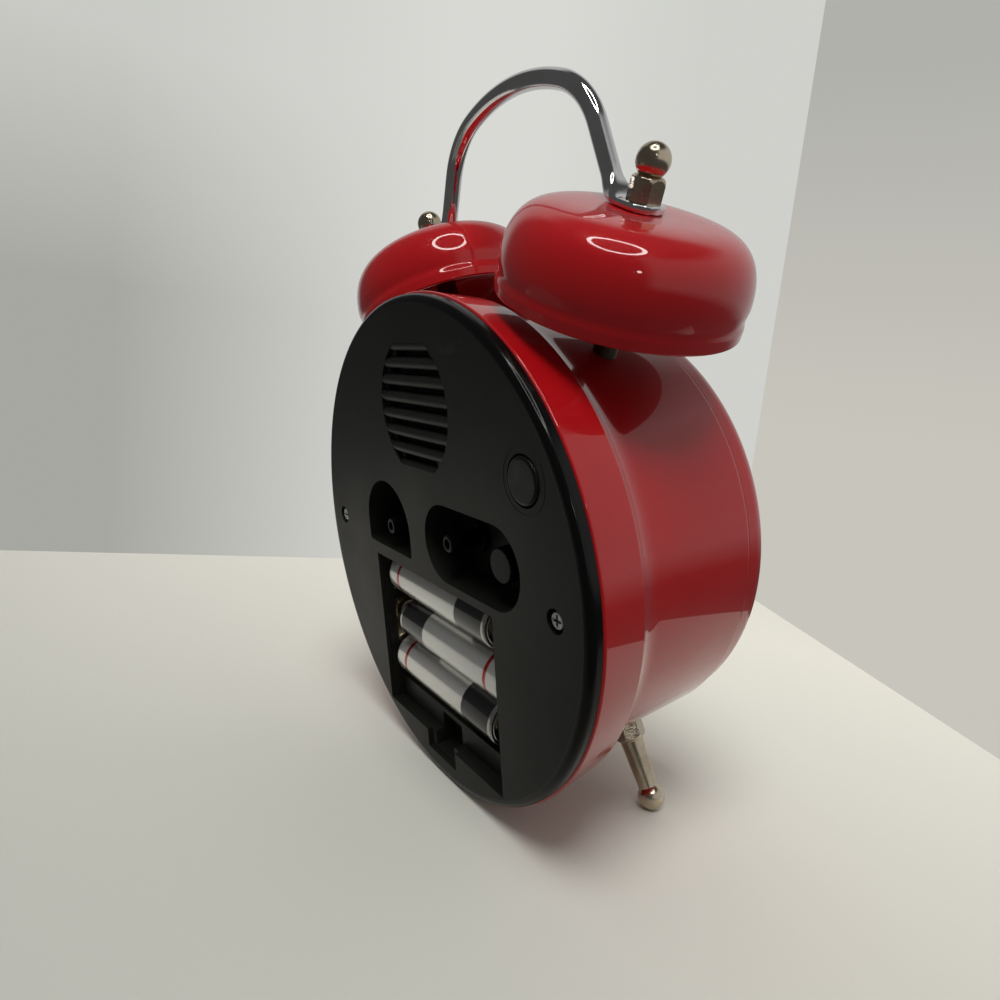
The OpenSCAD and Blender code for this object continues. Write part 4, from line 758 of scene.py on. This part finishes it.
KEPT = {
    card: ("dial", "dial_ring"), glass: ("lens",), black: ("dial_retainer",),
    # The bell posts get the nickel painted dark, a painted shade for the shade under the bells.
    nickel: ("bell_nuts", "foot_nuts", "contact_plates"), shade_dark_nickel: ("left_bell_post", "right_bell_post"),
    steel: ("board_screws", "stator", "rotor"), black_steel: ("speaker_frame",), magnet: ("speaker_magnet",),
    paper_cone: ("speaker_cone",),
    laminate: ("sound_board", "quartz_board"), chip_black: ("sound_chip", "button_switch", "volume_control"),
    can_blue: ("board_capacitor",), copper: ("stepper_coil",),
    pale_moulding: ("movement_back", "movement_front", "step_wheel"),
    brass: ("time_shaft", "alarm_shaft", "second_wheel", "minute_wheel", "motion_wheel", "hour_wheel", "alarm_wheel",
            "dial_nut"),
    hand_ink: ("hour_hand", "minute_hand"), hand_red: ("second_hand", "alarm_hand"),
}
for finish, names in KEPT.items():
    for name in names:
        for place in nodes[name].material_slots:
            place.material = finish


# Stage, light and camera


WALL_CORNER, LEFT_WALL_END = (145.0, -246.0), (330.0, 476.0)
TABLE_EDGE = ((-160.0, -82.0), (110.0, 338.0))
LAMP_WAY, SPOT_WAY = (-0.311, 0.301, 0.902), (-0.848, 0.441, 0.294)
RING_WIDE, RING_NARROW, SPOT_NARROW, GLARE = 0.9578, 0.9707, 0.9994, 14.0
WALL_GLOW, ROOM_GLOW, SOFT_LEAST, SOFT_MOST = 0.43, 0.07, 0.17, 0.64
CORNER_TURN, LAMP_WHITE = -0.936, (1.0, 0.99, 0.97, 1)


def stage_floor():
    """A pale table that ends where two walls stand on it, and at its own edge below the camera. Painted shade darkens
    it towards that edge, and gloss sees it painted dark below the camera, a painted shade in its reflections."""
    f = Finish("pale table", Specular_IOR_Level=0.25, Roughness=0.55)
    x, y, z = f.parts(f.place())
    # Painted shade: the table's colour darkens towards its edge below the camera.
    shade_near_camera = f.ramp(x * -0.41 + y * 0.91, -0.16, 0.1)
    pale = f.blend(shade_near_camera, tone(237, 234, 222), tone(184, 184, 176))
    # Painted shade for gloss: reflections of the table below the camera are painted dark.
    below = f.ramp(y - x * 0.8, 0.0, 0.08) * f.add("LightPath", out="Is Glossy Ray")
    f.drive(Base_Color=f.blend(below * 0.75, pale, tone(30, 30, 30)))
    rim = [WALL_CORNER, LEFT_WALL_END, *reversed(TABLE_EDGE)]
    mesh = bpy.data.meshes.new("table")
    mesh.from_pydata([(MM * x, MM * y, 0) for x, y in rim], [], [(0, 1, 2, 3)])
    mesh.materials.append(f.material)
    table = bpy.data.objects.new("table", mesh)
    bpy.context.scene.collection.objects.link(table)


def studio_world():
    """Matt faces get a soft light, more of it from the walls. Gloss sees bright walls on the far side, dark elsewhere,
    a thin ring of lamp and a small spot, each where the way is within given cosines of its middle. The camera and
    glass see two walls that meet in a corner, by the angle round the upright and by the height, in tones of painted
    shade: parts of the back wall darker low down, the right wall darker higher up."""
    world = bpy.data.worlds.new("pale room")
    bpy.context.scene.world = world
    world.use_nodes = True
    room = Nodes(world.node_tree)
    way = room.add("TexCoord", out="Generated")
    x, y, z = room.parts(way)
    turn = room.add("Math", {"operation": "ARCTAN2"}, {0: y, 1: x})
    # Painted shade on the walls seen by the camera: tones that change with the height and the angle round the upright.
    dim = room.blend(room.ramp(z, 0.08, 0.34), tone(167, 167, 161), tone(201, 202, 197))
    back = room.blend(room.ramp(turn, -0.5, -0.1), tone(216, 217, 212), dim)
    back = room.blend(room.ramp(turn, -0.6, -0.8), back, tone(207, 208, 203))
    right = room.blend(room.ramp(z, 0.0, 0.4), tone(200, 197, 188), tone(177, 177, 172))
    walls = room.blend(turn < CORNER_TURN, back, right)
    crest = z - room.ramp(x, 0.0, 1.0) * 0.3
    foot = z + room.ramp(x, 0.3, 0.8) * 0.4
    lit = room.ramp(x * 0.12 + y * 0.99, 0.3, 0.1) * room.ramp(crest, 0.83, 0.7) * room.ramp(foot, -0.15, 0.0)
    aim = room.add("VectorMath", {"operation": "DOT_PRODUCT"}, {0: way, 1: LAMP_WAY}, out="Value")
    ring = (aim > RING_WIDE) * (aim < RING_NARROW)
    spot = room.add("VectorMath", {"operation": "DOT_PRODUCT"}, {0: way, 1: SPOT_WAY}, out="Value") > SPOT_NARROW
    shine = lit * WALL_GLOW + ROOM_GLOW + (ring + spot) * GLARE
    glow = room.add("Background", inputs={"Color": LAMP_WHITE, "Strength": shine})
    share = room.ramp(x * 0.25 + y * -0.8 + z * 0.45, -0.6, 0.8, SOFT_LEAST, SOFT_MOST)
    soft = room.add("Background", inputs={"Color": LAMP_WHITE, "Strength": share})
    view = room.add("Background", inputs={"Color": walls, "Strength": 1.0})
    rays = room.add("LightPath", out="Is Camera Ray").socket.node.outputs
    seen = room.add("Math", {"operation": "MAXIMUM"},
                    {0: Value(room, rays["Is Camera Ray"]), 1: Value(room, rays["Is Transmission Ray"])})
    light = room.add("MixShader", inputs={0: Value(room, rays["Is Glossy Ray"]), 1: soft, 2: glow})
    light = room.add("MixShader", inputs={0: seen, 1: light, 2: view})
    room.put(world.node_tree.nodes["World Output"].inputs["Surface"], light)


def lamp(name, towards, distance, size, power):
    """A soft lamp that looks at the clock's middle from a direction of the row."""
    towards = np.array(towards, float) / np.linalg.norm(towards)
    light = bpy.data.lights.new(name, "AREA")
    light.shape, light.size, light.energy = "DISK", size, power
    thing = bpy.data.objects.new(name, light)
    thing.location = HUB + distance * towards
    thing.rotation_euler = Vector(towards).to_track_quat("Z", "Y").to_euler()
    thing.visible_glossy = False
    bpy.context.scene.collection.objects.link(thing)


# The photograph's camera, in the clock's frame: place in millimetres, way to the right of the picture, and way ahead
CAMERA_AT = np.array([-132.11, 48.87, -65.42])
CAMERA_RIGHT = np.array([-0.5537, -0.0554, 0.8309])
CAMERA_AHEAD = np.array([0.8136, -0.2488, 0.5255])
FOCAL_SHARE, SENSOR = 0.72, 36


def photo_camera():
    """A square camera whose focal length is a share of its picture's width."""
    right = CAMERA_RIGHT @ BASIS
    ahead = CAMERA_AHEAD @ BASIS
    ahead /= np.linalg.norm(ahead)
    right -= ahead * (right @ ahead)
    right /= np.linalg.norm(right)
    up = np.cross(right, ahead)
    data = bpy.data.cameras.new("camera")
    data.sensor_width = SENSOR
    data.lens = SENSOR * FOCAL_SHARE
    data.clip_start = 0.005
    thing = bpy.data.objects.new("camera", data)
    turn = np.eye(4)
    turn[:3, 0], turn[:3, 1], turn[:3, 2], turn[:3, 3] = right, up, -ahead, in_row(CAMERA_AT)
    thing.matrix_world = Matrix(turn.tolist())
    bpy.context.scene.collection.objects.link(thing)
    bpy.context.scene.camera = thing


stage_floor()
studio_world()
lamp("ceiling lamp", LAMP_WAY, distance=1.25, size=0.6, power=11.5)
photo_camera()
bpy.context.scene.view_settings.view_transform = "Standard"
